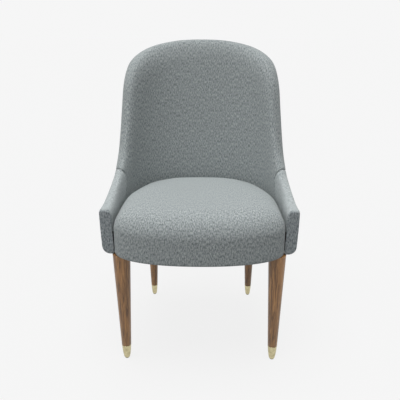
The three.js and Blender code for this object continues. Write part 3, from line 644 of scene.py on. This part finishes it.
def seat_outline(share):
    """A point of the plan, from the nose's middle round by the right side."""
    turn = 2 * math.pi * share
    side = 1 if share < 0.5 else -1
    from_rear = abs(share - 0.5)
    if from_rear > quarter_share:
        across = abs(math.sin(turn)) ** (2 / seat_nose_squareness)
        forward = max(math.cos(turn), 0) ** (2 / seat_nose_squareness)
        return Vector((side * seat_half_width * across, seat_widest_setback - seat_nose * forward))
    back = 1 - from_rear / quarter_share
    if back < seat_straight_share:
        y = lerp(seat_widest_setback, arm_straight, back / seat_straight_share)
        return Vector((side * seat_half_width, y))
    angle = angle_at((back - seat_straight_share) / (1 - seat_straight_share), inner_table)
    x, y = plan_curve(angle, seat_half_width, seat_depth, inner_squareness)
    return Vector((side * x, y))


seat_plan = [seat_outline(i / seat_columns) for i in range(seat_columns)]


def seat_inset(i, inset):
    run = (seat_plan[(i + 1) % seat_columns] - seat_plan[i - 1]).normalized()
    return seat_plan[i] + Vector((-run.y, run.x)) * inset


def front_share(i):
    """1 under the nose, 0 beside and behind, where the pad is tucked down to the webbing."""
    share = i / seat_columns
    return 1 - smooth_step((min(share, 1 - share) - front_end_share) / front_fade_share)


def seat_edge(y):
    rise = (y - seat_rise_start) / (seat_rise_end - seat_rise_start)
    return lerp(seat_edge_z, seat_rear_edge_z, smooth_step(rise))


print("the seat is", round(2 * seat_half_width, 3), "m wide and", round(seat_depth + seat_nose, 3), "deep")

# %% The seat pad before it is stuffed
dome_rows = 22
dome_row_power = 2.2
side_rows = 4
side_foot_z = underside_z + 6 * mm
swell_start = 60 * mm
seat_slack = 2.5 * mm
weld = 0.01 * mm
# Rows of the tuck: how far in, how high under the nose and how high elsewhere.
seat_tuck = [
    (0.8 * mm, underside_z + 2.4 * mm, seat_base_z - 1 * mm),
    (2.6 * mm, underside_z + 0.4 * mm, seat_base_z - 1.2 * mm),
    (4.6 * mm, underside_z, seat_base_z - 1.2 * mm),
    (seat_skirt, underside_z + 1.6 * mm, seat_base_z - 1 * mm),
    (seat_skirt + 0.4 * mm, lerp(underside_z, seat_base_z, 0.5), seat_base_z - 0.8 * mm),
    (seat_skirt + 0.6 * mm, seat_base_z, seat_base_z),
]


def free_share(z):
    """0 at the height of the front edge, where the cover is held, and 1 a little above it."""
    return smooth_step((z - seat_edge_z) / swell_start)


def dome_point(i, draw_in, slack):
    """A point of the seat's top, drawn in by a share from the plan's edge to its centre."""
    y = seat_plan[i].y
    power = lerp(seat_front_power, seat_rear_power, smooth_step(y / seat_depth))
    z = lerp(seat_edge(y), seat_crown_z, math.sqrt(1 - (1 - draw_in) ** power))
    held_back = slack * free_share(z)
    return (*seat_inset(i, held_back).lerp(seat_centre, draw_in), z - held_back)


def tuck_point(i, inset, front_z, side_z):
    """A point set in from the plan, at one height under the nose and another elsewhere."""
    return (*seat_inset(i, inset), lerp(side_z, front_z, front_share(i)))


def side_point(i, part, slack):
    """A point of the side, a part of the way from the dome's edge down to the tuck."""
    edge_z = seat_edge(seat_plan[i].y)
    held_back = slack * free_share(edge_z)
    side_z = lerp(edge_z - held_back, seat_base_z, part)
    return tuck_point(i, held_back * (1 - part), lerp(seat_edge_z, side_foot_z, part), side_z)


def seat_row(point_at, *values):
    return [Vector(point_at(i, *values)) for i in range(seat_columns)]


def seat_pad(slack):
    shares = [(1 - share) ** dome_row_power for share in spread(0, 1, dome_rows)]
    rows = [seat_row(dome_point, share, slack) for share in shares]
    rows += [seat_row(side_point, part, slack) for part in spread(0, 1, side_rows)[1:]]
    rows += [seat_row(tuck_point, *row) for row in seat_tuck]
    pole = Vector((*seat_centre, seat_base_z))
    rows.append([point.lerp(pole, 0.5) for point in rows[-1]])
    rows.append([pole] * seat_columns)
    return rows


def ring_mesh(rows):
    """A grid rolled into a ring, with its seam and its two poles welded."""
    strands = [[row[i % seat_columns] for row in rows] for i in range(seat_columns + 1)]
    bm, number = grid_mesh(len(strands), len(rows))
    laid(bm, number, bm.verts, strands)
    bmesh.ops.translate(bm, verts=bm.verts, vec=(0, arm_front_y, 0))
    bmesh.ops.remove_doubles(bm, verts=bm.verts, dist=weld)
    return bm


seat = finished(ring_mesh(seat_pad(seat_slack)), "seat_pad", levels=1)

# %% [markdown]
# ### Stuffing the seat
# Blender's cloth solver can blow a closed mesh up like a cushion. It runs here for twenty frames
# with gravity off. The result is then applied with a limit that fades out towards the front edge's
# height, so that the pad takes up its slack while its tucked sides stay clear of the arms.

# %% Swell the seat with a short simulation
swell_limit = 3 * mm
swell_frames = 20
swell_pressure = 4
cloth_stiffness = 30


def swollen(piece):
    copy = piece.copy()
    copy.data = piece.data.copy()
    scene.collection.objects.link(copy)
    copy.modifiers.clear()
    cloth = copy.modifiers.new("Cloth", "CLOTH")
    cloth.settings.use_pressure = True
    cloth.settings.uniform_pressure_force = swell_pressure
    cloth.settings.tension_stiffness = cloth_stiffness
    cloth.settings.effector_weights.gravity = 0
    cloth.point_cache.frame_end = swell_frames
    for step in range(1, swell_frames + 1):
        scene.frame_set(step)
    shaped = copy.evaluated_get(bpy.context.evaluated_depsgraph_get())
    places = [vert.co.copy() for vert in shaped.data.vertices]
    bpy.data.objects.remove(copy)
    scene.frame_set(1)
    return places


def eased(piece, places, limit):
    """Move each point towards its stuffed place, but only above the front edge and by a little."""
    most = 0
    for vert, place in zip(piece.data.vertices, places):
        push = place - vert.co
        if push.length > limit:
            push *= limit / push.length
        push *= free_share(vert.co.z)
        most = max(most, push.length)
        vert.co += push
    print("the seat swelled by up to", round(most / mm, 2), "mm")


eased(seat, swollen(seat), swell_limit)


def flat_cloth(piece):
    """Cloth places for the seat: across, and back over the nose as one length."""
    uv = piece.data.uv_layers.new(name="Cloth")
    for loop in piece.data.loops:
        place = piece.data.vertices[loop.vertex_index].co
        uv.data[loop.index].uv = place.x, place.y + place.z


flat_cloth(seat)

# %% [markdown]
# ## Legs, tips and glides
# These are lathe work: half an outline is drawn as a run of edges and spun once round an upright
# axis, as a turner's tool would sweep it.

# %% Turn the legs
leg_segments = 64
leg_top = underside_z - layer_gap
glide_height = 1.9 * mm
pin_wall = 1.5 * mm
pin_foot_z = 6 * mm
cup_wall = 1.2 * mm
cup_floor_z = 5.7 * mm
tip_end_share = 0.82
lathe_weld = 0.005 * mm
corner_share = 0.45
corner_cuts = 4
# Radii from the top down, and the height of the tip.
leg_sizes = {
    "front": {"top": 24.6 * mm, "shoulder": 13.8 * mm, "tip": 46 * mm, "end": 8.9 * mm, "glide": 6.5 * mm},
    "rear": {"top": 22.6 * mm, "shoulder": 11.2 * mm, "tip": 38.5 * mm, "end": 7.4 * mm, "glide": 5.4 * mm},
}
# Heights in a tip, and how far its radius has grown there.
tip_shares = [(1, 1), (0.56, 0.66), (0.25, 0.27), (0.1, 0)]


def turned(profile, centre):
    """A closed solid from rows of radius and height, which start and end on the axis."""
    bm = bmesh.new()
    verts = [bm.verts.new((radius, 0, z)) for radius, z in profile]
    edges = [bm.edges.new(pair) for pair in zip(verts, verts[1:])]
    bmesh.ops.spin(
        bm, geom=verts + edges, cent=(0, 0, 0), axis=(0, 0, 1), angle=2 * math.pi,
        steps=leg_segments, use_merge=True,
    )
    bmesh.ops.remove_doubles(bm, verts=bm.verts, dist=lathe_weld)
    bmesh.ops.translate(bm, verts=bm.verts, vec=centre)
    return bm


def softened(profile, radius):
    """The same profile with each bend between its ends cut back to a small round."""
    rows = [profile[0]]
    for before, corner, after in zip(profile, profile[1:], profile[2:]):
        here = Vector(corner)
        ways = [Vector(before) - here, Vector(after) - here]
        reach = min(radius, *[way.length * corner_share for way in ways])
        start, stop = [here + way.normalized() * reach for way in ways]
        for share in spread(0, 1, corner_cuts):
            rows.append(tuple(start.lerp(here, share).lerp(here.lerp(stop, share), share)))
    return [*rows, profile[-1]]


def tip_rows(size, wall):
    return [
        (lerp(size["end"], size["shoulder"], taper) - wall, size["tip"] * height)
        for height, taper in tip_shares
    ]


def leg_profile(size):
    pin = tip_rows(size, pin_wall)
    shoulder_z = size["tip"] + layer_gap
    return [
        (0, leg_top), (size["top"], leg_top), (size["shoulder"], shoulder_z),
        (pin[0][0], shoulder_z), *pin[1:-1], (pin[-1][0], pin_foot_z), (0, pin_foot_z),
    ]


def tip_profile(size):
    low = glide_height + layer_gap
    cup = tip_rows(size, cup_wall)
    return [
        (0, low), (size["end"] * tip_end_share, low), *reversed(tip_rows(size, 0)),
        *cup[:-1], (cup[-1][0], cup_floor_z), (0, cup_floor_z),
    ]


def glide_profile(size):
    return [(0, 0), (size["glide"], 0), (size["glide"], glide_height), (0, glide_height)]


def leg_centre(name):
    """Where a leg stands, read from its CAD node."""
    low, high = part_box(f"leg_{name}")
    return (low.x + high.x) / 2, (low.y + high.y) / 2, 0


turned_kinds = [
    ("leg", leg_profile, 0.8 * mm, "walnut"),
    ("tip", tip_profile, 0.35 * mm, "brass"),
    ("glide", glide_profile, 0.5 * mm, "nylon"),
]
leg_pieces = []
for name in ("front_left", "front_right", "rear_left", "rear_right"):
    size = leg_sizes[name.split("_")[0]]
    for kind, profile, corner, slot in turned_kinds:
        bm = turned(softened(profile(size), corner), leg_centre(name))
        piece = finished(bm, f"turned_{kind}_{name}")
        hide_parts(f"{kind}_{name}")
        leg_pieces.append((piece, slot))

# %% [markdown]
# ## The underside
# A thin black lining closes the underside. It is cut from one flat sheet, with a hole where each
# front leg's bolt passes through, and stretched under the rails.

# %% Lining under the seat
lining_thickness = 0.8 * mm
lining_inset = 7 * mm
bolt_hole = 4.6 * mm
hole_segments = 16


def loop_of_edges(bm, points):
    verts = [bm.verts.new(point) for point in points]
    return [bm.edges.new((verts[i - 1], verts[i])) for i in range(len(verts))]


def lining_sheet():
    bm = bmesh.new()
    _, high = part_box("dust_cover")
    outline = [seat_inset(i, lining_inset * front_share(i) + layer_gap) for i in range(0, seat_columns, 2)]
    edges = loop_of_edges(bm, [(point.x, point.y + arm_front_y, high.z) for point in outline])
    for side in sides:
        x, y, _ = leg_centre(f"front_{side}")
        place = Matrix.Translation((x, y, high.z))
        ring = bmesh.ops.create_circle(
            bm, cap_ends=False, segments=hole_segments, radius=bolt_hole, matrix=place
        )
        edges += list({edge for vert in ring["verts"] for edge in vert.link_edges})
    bmesh.ops.triangle_fill(bm, use_beauty=True, use_dissolve=False, edges=edges)
    area = sum(face.calc_area() for face in bm.faces)
    bmesh.ops.solidify(bm, geom=bm.faces[:], thickness=lining_thickness)
    return bm, area


lining_mesh, lining_area = lining_sheet()
lining = finished(lining_mesh, "under_lining", smooth=False)

# %% [markdown]
# ## Webbing
# Six straps of woven webbing carry the foam. Each is a copy of its CAD solid with the edges
# rounded, so the cross straps still step up from the rails to lie over the long ones.

# %% Straps made from the CAD's own shapes
strap_edge = 0.35 * mm
flat_angle = math.radians(1)


def strap_from(node):
    """A copy of a CAD strap, with its flat faces joined and its edges rounded."""
    bm = bmesh.new()
    bm.from_mesh(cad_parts[node].data)
    bmesh.ops.remove_doubles(bm, verts=bm.verts, dist=weld)
    bmesh.ops.dissolve_limit(bm, angle_limit=flat_angle, verts=bm.verts, edges=bm.edges)
    bmesh.ops.recalc_face_normals(bm, faces=bm.faces)
    bmesh.ops.bevel(
        bm, geom=bm.edges[:], offset=strap_edge, offset_type="OFFSET", affect="EDGES", segments=2,
        profile=0.5, material=-1,
    )
    return bm


straps = []
for run in ("long", "cross"):
    for i in (1, 2, 3):
        node = f"{run}_strap_{i}"
        strap = finished(strap_from(node), f"web_{run}_{i}", smooth=False)
        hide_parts(node)
        straps.append(strap)

# %% [markdown]
# ## Who replaces what
# Each new soft piece stands for the CAD solids of its cover and its padding, which are hidden, and is
# listed with how full its padding is. The lining stands for the CAD dust cover, which is hidden too; its
# area is measured when it is cut.

foam_fill = 0.8
firm_fill = 0.9
soft_pieces = [
    (seat, ("seat_cover", "seat_foam"), foam_fill),
    (inside_back, ("inside_back_cover", "back_foam"), foam_fill),
    (outside, ("outside_cover", "outside_wadding"), firm_fill),
]
for side in sides:
    soft_pieces.append((arm_pads[side], (f"arm_cover_{side}", f"arm_foam_{side}"), foam_fill))
    soft_pieces.append((arm_fronts[side], (f"arm_end_panel_{side}",), firm_fill))
for piece, nodes, fill in soft_pieces:
    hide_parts(*nodes)
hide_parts("dust_cover")

# %% [markdown]
# ## A small kit for materials
# A finish is a graph of nodes. One helper adds a node and fills or links its sockets. Another makes
# a node group, so that an effect is built once and used in many materials. Each group turns a place
# and a few values into a colour, a roughness and a height.

# %% Node helpers
group_outputs = {"Color": "NodeSocketColor", "Roughness": "NodeSocketFloat", "Height": "NodeSocketFloat"}


def add_node(tree, kind, sockets=None, **settings):
    """The outputs of a new shader node, with its settings made and its sockets filled."""
    item = tree.nodes.new("ShaderNode" + kind)
    for key, value in settings.items():
        setattr(item, key, value)
    for key, value in (sockets or {}).items():
        if isinstance(value, bpy.types.NodeSocket):
            tree.links.new(value, item.inputs[key])
        else:
            item.inputs[key].default_value = value
    return item.outputs


def math_node(tree, operation, *values, clamp=False):
    sockets = dict(enumerate(values))
    return add_node(tree, "Math", sockets, operation=operation, use_clamp=clamp)[0]


def weighted(tree, values, weights):
    """The sum of the values, each times its weight."""
    parts = [math_node(tree, "MULTIPLY", *pair) for pair in zip(values, weights)]
    return reduce(lambda total, part: math_node(tree, "ADD", total, part), parts)


def mixed(tree, share, low, high):
    """A blend of two colours."""
    return add_node(tree, "Mix", {0: share, 6: low, 7: high}, data_type="RGBA")[2]


def ranged(tree, value, low, high, to_low=0, to_high=1):
    sockets = {"Value": value, "From Min": low, "From Max": high, "To Min": to_low, "To Max": to_high}
    return add_node(tree, "MapRange", sockets, clamp=True)[0]


def scaled(tree, vector, scale):
    return add_node(tree, "Mapping", {"Vector": vector, "Scale": scale}, vector_type="POINT")[0]


def noise_value(tree, vector, scale=1, detail=2, roughness=0.5, distortion=0):
    sockets = {
        "Vector": vector, "Scale": scale, "Detail": detail, "Roughness": roughness,
        "Distortion": distortion,
    }
    return add_node(tree, "TexNoise", sockets)["Fac"]


def group_from(name, values, build):
    """A node group with a place and named values as inputs, filled by a function."""
    tree = bpy.data.node_groups.new(name, "ShaderNodeTree")
    tree.interface.new_socket("Place", in_out="INPUT", socket_type="NodeSocketVector")
    for label, value in values.items():
        kind = "NodeSocketColor" if isinstance(value, tuple) else "NodeSocketFloat"
        tree.interface.new_socket(label, in_out="INPUT", socket_type=kind).default_value = value
    for label, kind in group_outputs.items():
        tree.interface.new_socket(label, in_out="OUTPUT", socket_type=kind)
    result = tree.nodes.new("NodeGroupOutput").inputs
    for label, socket in zip(group_outputs, build(tree, tree.nodes.new("NodeGroupInput").outputs)):
        tree.links.new(socket, result[label])
    print("group:", name, "with", *values)
    return tree


def grey(level):
    return (level, level, level, 1)


def from_srgb(red, green, blue):
    """A colour picked on a screen, as the linear values that a shader wants."""
    parts = [value / 255 for value in (red, green, blue)]
    parts = [part / 12.92 if part < 0.04045 else ((part + 0.055) / 1.055) ** 2.4 for part in parts]
    return (*parts, 1)


# %% [markdown]
# ## Woven cloth
# The chair's cloth is a heather: each yarn is spun from light and dark fibres, and some swell into
# slubs. Up close it is a plain weave. From across a room only the flecks are left, a few
# millimetres wide and longer along the yarn. Seen at a slant, the fibres' tips hide the flecks, so
# they fade there. The group gives all of this from the flat cloth's own places, plus a height for
# the bump.

# %% Heather cloth group
# How far the flecks of warp, weft and cloud are squeezed across and up, and their noise's detail.
fleck_shapes = [(1, 0.36, 3), (0.4, 1, 3), (0.3, 0.3, 2)]
fleck_roughness = 0.6
noise_apart = 7
tone_weights = 0.76, 0.16, 0.08, 0.035
tone_range = 0.35, 0.65
slant_range = 0.35, 0.75
slanted_contrast = 0.45
yarn_roughness = 0.96, 0.84
height_weights = 0.5, 1.2


def heather_nodes(tree, given):
    per_thread = math_node(tree, "DIVIDE", math.pi, given["Thread pitch"])
    per_fleck = math_node(tree, "DIVIDE", 1, given["Fleck size"])
    parts = add_node(tree, "SeparateXYZ", {0: given["Place"]})
    waves = [math_node(tree, "SINE", math_node(tree, "MULTIPLY", parts[i], per_thread)) for i in (0, 1)]
    weave = math_node(tree, "MULTIPLY", *waves)
    flecks = []
    for across, up, detail in fleck_shapes:
        sockets = {2: across * noise_apart}
        for i, squeeze in enumerate((across, up)):
            rate = math_node(tree, "MULTIPLY", per_fleck, squeeze)
            sockets[i] = math_node(tree, "MULTIPLY", parts[i], rate)
        place = add_node(tree, "CombineXYZ", sockets)[0]
        flecks.append(noise_value(tree, place, 1, detail, fleck_roughness))
    tone = weighted(tree, (*flecks, weave), tone_weights)
    slant = add_node(tree, "LayerWeight", {"Blend": 0.5})["Facing"]
    contrast = ranged(tree, slant, *slant_range, 1, slanted_contrast)
    centred = math_node(tree, "SUBTRACT", ranged(tree, tone, *tone_range), 0.5)
    share = math_node(tree, "ADD", math_node(tree, "MULTIPLY", centred, contrast), 0.5)
    color = mixed(tree, share, given["Dark yarn"], given["Light yarn"])
    height = weighted(tree, (weave, flecks[0]), height_weights)
    return color, ranged(tree, share, 0, 1, *yarn_roughness), height


heather_values = {
    "Light yarn": grey(0.6), "Dark yarn": grey(0.2), "Thread pitch": 1.3 * mm, "Fleck size": 3 * mm,
}
heather = group_from("Heather cloth", heather_values, heather_nodes)

# %% [markdown]
# ## Wood grain
# Grain is the cut edge of yearly rings, drawn out along the tree. Noise stretched many times along one axis
# gives the streaks, and a second, finer one the pores. The same group serves the walnut legs and the darkly
# stained frame, with other colours and streaks of another size; the frame's darkness is painted shade.

# %% Wood grain group
grain_stretch = 1, 1, 0.07
ring_noise = {"detail": 4, "roughness": 0.62, "distortion": 0.7}
bend_scale = 14
streak_weights = 0.75, 0.35
streak_range = 0.4, 0.68
pore_stretch = 1, 1, 0.03
pore_range = 0.3, 0.7
pore_roughness = 0.5, 0.36


def grain_nodes(tree, given):
    drawn = scaled(tree, given["Place"], grain_stretch)
    rings = noise_value(tree, drawn, given["Streaks"], **ring_noise)
    streaks = weighted(tree, (rings, noise_value(tree, drawn, bend_scale)), streak_weights)
    share = ranged(tree, streaks, *streak_range)
    pores = noise_value(tree, scaled(tree, given["Place"], pore_stretch), given["Pores"])
    color = mixed(tree, share, given["Deep"], given["Pale"])
    return color, ranged(tree, pores, *pore_range, *pore_roughness), pores


grain_values = {"Pale": grey(0.4), "Deep": grey(0.15), "Streaks": 60, "Pores": 500}
grain = group_from("Wood grain", grain_values, grain_nodes)

# %% Group for handling wear
patch_noise = {"scale": 90, "detail": 4, "roughness": 0.6}
patch_range = 0.4, 0.75
brush_stretch = 1, 1, 14
brush_scale = 60
shine_range = 0.3, 0.7


def wear_nodes(tree, given):
    patches = noise_value(tree, given["Place"], **patch_noise)
    brush = noise_value(tree, scaled(tree, given["Place"], brush_stretch), brush_scale)
    share = math_node(tree, "MULTIPLY", ranged(tree, patches, *patch_range), given["Amount"])
    color = mixed(tree, share, given["Color"], given["Dull"])
    marks = weighted(tree, (patches, brush), (0.5, 0.5))
    return color, ranged(tree, marks, *shine_range, given["Smooth"], given["Rough"]), brush


wear_values = {"Color": grey(0.5), "Dull": grey(0.2), "Amount": 0.3, "Smooth": 0.25, "Rough": 0.45}
wear = group_from("Handling wear", wear_values, wear_nodes)

# %% [markdown]
# ## The finishes
# Each material has its own Principled shader. The group feeds colour, roughness and bump. Numbers
# that are the same all over sit on the shader. Colours are written as a screen shows them, from 0 to
# 255.

# %% Build a material around a group


def blank_tree(owner):
    """The emptied node tree of a new material or world."""
    owner.use_nodes = True
    owner.node_tree.nodes.clear()
    return owner.node_tree


def material_from(name, group, values, bump_distance, bump_strength=0.5, shader=None, cloth=False):
    material = bpy.data.materials.new(name)
    tree = blank_tree(material)
    if cloth:
        source = add_node(tree, "UVMap", uv_map="Cloth")[0]
    else:
        source = add_node(tree, "TexCoord")["Object"]
    values = {
        label: from_srgb(*value) if isinstance(value, tuple) else value for label, value in values.items()
    }
    made = add_node(tree, "Group", {"Place": source, **values}, node_tree=group)
    bump_values = {"Height": made["Height"], "Distance": bump_distance, "Strength": bump_strength}
    bump = add_node(tree, "Bump", bump_values)[0]
    fed = {"Base Color": made["Color"], "Roughness": made["Roughness"], "Normal": bump}
    surface = add_node(tree, "BsdfPrincipled", {**fed, **(shader or {})})[0]
    add_node(tree, "OutputMaterial", {0: surface})
    return material


# %% Cloths
matt = {"Specular IOR Level": 0.2}
soft_sheen = {
    **matt, "Sheen Weight": 0.18, "Sheen Roughness": 0.5, "Sheen Tint": from_srgb(235, 238, 238),
}
upholstery = {}
for name, light, dark, bump in (
    ("heather_fabric", (181, 187, 187), (98, 106, 108), (0.7 * mm, 0.7)),
    # The arms' cloth is a lighter copy of the same heather: painted light for the light that falls on the
    # arms.
    ("heather_fabric_arms", (194, 200, 200), (112, 120, 122), (0.7 * mm, 0.7)),
    # The panels' cloth is a darker, bluer copy of the same heather: painted shade on the arms' front faces.
    ("heather_fabric_panels", (184, 191, 194), (90, 97, 101), (0.9 * mm, 0.9)),
):
    yarns = {"Light yarn": light, "Dark yarn": dark}
    upholstery[name] = material_from(name, heather, yarns, *bump, soft_sheen, cloth=True)
jute_yarns = {
    "Light yarn": (74, 70, 64), "Dark yarn": (34, 32, 30), "Thread pitch": 2.2 * mm, "Fleck size": 6 * mm,
}
lining_yarns = {
    "Light yarn": (46, 46, 48), "Dark yarn": (24, 24, 26), "Thread pitch": 0.8 * mm, "Fleck size": 2 * mm,
}
webbing = material_from("jute_webbing", heather, jute_yarns, bump_distance=0.6 * mm, shader=matt)
lining_cloth = material_from("black_lining", heather, lining_yarns, bump_distance=0.3 * mm, shader=matt)
print("cloths:", *upholstery, webbing.name, lining_cloth.name)

# %% Woods, metals and nylon
# The frame's timber is given a dark stain whose darkness is painted shade: it makes the gaps where two
# covers part show as thin dark lines.
walnut = material_from(
    "leg_walnut", grain, {"Pale": (188, 139, 88), "Deep": (70, 45, 26), "Streaks": 200},
    bump_distance=0.15 * mm, bump_strength=0.35, shader={"Coat Weight": 0.3, "Coat Roughness": 0.35},
)
# The dark frame and plywood colours are painted shade for the gaps between the covers.
hardwood = material_from(
    "stained_frame", grain, {"Pale": (86, 70, 56), "Deep": (50, 39, 31), "Streaks": 70},
    bump_distance=0.2 * mm,
)
plywood = material_from(
    "stained_plywood", grain, {"Pale": (92, 78, 62), "Deep": (58, 47, 38), "Streaks": 45},
    bump_distance=0.2 * mm,
)
brass = material_from(
    "satin_brass", wear,
    {"Color": (204, 194, 156), "Dull": (132, 122, 88), "Amount": 0.6, "Smooth": 0.16, "Rough": 0.34},
    bump_distance=0.04 * mm, bump_strength=0.3, shader={"Metallic": 1},
)
steel = material_from(
    "zinc_steel", wear,
    {"Color": (178, 180, 184), "Dull": (120, 120, 124), "Smooth": 0.3, "Rough": 0.5},
    bump_distance=0.05 * mm, bump_strength=0.3, shader={"Metallic": 1},
)
nylon = material_from(
    "glide_nylon", wear,
    {"Color": (150, 144, 124), "Dull": (112, 106, 88), "Smooth": 0.45, "Rough": 0.65},
    bump_distance=0.05 * mm, bump_strength=0.3,
)
print("solids:", *[item.name for item in (walnut, hardwood, plywood, brass, steel, nylon)])

# %% Put a finish on every piece


def dress(piece, material):
    piece.data.materials.clear()
    piece.data.materials.append(material)


by_slot = {"walnut": walnut, "brass": brass, "nylon": nylon}
for piece, slot in leg_pieces:
    dress(piece, by_slot[slot])
for piece, _, _ in soft_pieces:
    dress(piece, upholstery["heather_fabric"])
for side in sides:
    # The arm pads get the lighter copy of the cloth, which is painted light.
    dress(arm_pads[side], upholstery["heather_fabric_arms"])
    # The arm fronts get the darker, bluer copy of the cloth, which is painted shade.
    dress(arm_fronts[side], upholstery["heather_fabric_panels"])
for strap in straps:
    dress(strap, webbing)
dress(lining, lining_cloth)

kept_finishes = [
    (steel, ("leg_bolt", "leg_nut", "arm_bolt", "wing_bolt", "back_bolt")),
    (hardwood, ("front_", "rear_", "side_rail")),
    (plywood, ("back_board", "arm_board")),
]
kept = [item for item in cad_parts.values() if not item.hide_render]
for item in kept:
    finish = next(material for material, starts in kept_finishes if item.name.startswith(starts))
    for index in range(len(item.data.materials)):
        item.data.materials[index] = finish
print(len(kept), "frame pieces keep their shapes")

# %% [markdown]
# ## Floor, light and camera
# A large pale floor meets a sky of the same white. For the camera the floor is mostly its own
# plain white, with part of its true shading let through, so the shadow stays but is faint, as on a
# studio sweep. A broad key lamp stands high, to the left and in front. A weak side lamp fills in.

# %% Floor
floor_tone = 0.28
floor_white = 1.03
floor_plain_share = 0.82
floor_half_size = 80
floor_cells = 8


def seen_directly(tree):
    """1 for rays from the camera, and for those that come by way of gloss or glass."""
    path = add_node(tree, "LightPath")
    total = math_node(tree, "ADD", path["Is Camera Ray"], path["Is Glossy Ray"])
    return math_node(tree, "ADD", total, path["Is Transmission Ray"], clamp=True)


def floor_material():
    material = bpy.data.materials.new("studio_floor")
    tree = blank_tree(material)
    shaded = add_node(tree, "BsdfDiffuse", {"Color": grey(floor_tone)})[0]
    plain = add_node(tree, "Emission", {"Color": grey(floor_white)})[0]
    share = math_node(tree, "MULTIPLY", seen_directly(tree), floor_plain_share)
    blend = add_node(tree, "MixShader", {0: share, 1: shaded, 2: plain})[0]
    add_node(tree, "OutputMaterial", {0: blend})
    return material


floor_bm = bmesh.new()
bmesh.ops.create_grid(floor_bm, x_segments=floor_cells, y_segments=floor_cells, size=floor_half_size)
floor_mesh = bpy.data.meshes.new("floor")
floor_bm.to_mesh(floor_mesh)
floor_bm.free()
floor = placed("floor", floor_mesh)
dress(floor, floor_material())
print("floor of", 2 * floor_half_size, "m")

# %% Sky
sky_light = 0.36
page_white = 0.92
world = bpy.data.worlds.new("studio")
scene.world = world
sky = blank_tree(world)
soft = add_node(sky, "Background", {"Color": grey(1), "Strength": sky_light})[0]
white = add_node(sky, "Background", {"Color": grey(page_white), "Strength": 1})[0]
blend = add_node(sky, "MixShader", {0: seen_directly(sky), 1: soft, 2: white})[0]
add_node(sky, "OutputWorld", {0: blend})
print("sky light", sky_light, "floor tone", floor_tone)

# %% Lamps
# Each lamp's height, its turn to the left of the camera and its width are in degrees.
lamps = {
    "key": {"strength": 3.35, "height": 84, "left": 50, "width": 50},
    "side": {"strength": 0.4, "height": 22, "left": 68, "width": 40},
}


def sun(name, strength, height, left, width):
    lamp = bpy.data.lights.new(name, "SUN")
    lamp.energy = strength
    lamp.angle = math.radians(width)
    holder = placed(name, lamp)
    height, left = math.radians(height), math.radians(left)
    level = math.cos(height)
    towards = Vector((-math.sin(left) * level, -math.cos(left) * level, math.sin(height)))
    holder.rotation_euler = towards.to_track_quat("Z", "Y").to_euler()
    print(name, "lamp from", *[round(part, 2) for part in towards])


for name, lamp in lamps.items():
    sun(name, **lamp)

# %% Camera
# The sensor and the focal length are in millimetres.
sensor_width = 36
focal_length = 44.316
camera_shift = -0.001
camera_place = 0.0225, -1.4629, 0.9285
camera_tilt = math.radians(71.16)
camera_turn = math.radians(0.88)
camera_data = bpy.data.cameras.new("camera")
camera_data.sensor_width = sensor_width
camera_data.lens = focal_length
camera_data.shift_x = camera_shift
camera = placed("camera", camera_data)
camera.location = camera_place
camera.rotation_euler = (camera_tilt, 0, camera_turn)
scene.camera = camera
scene.view_settings.view_transform = "Standard"
print("camera at", camera_place)
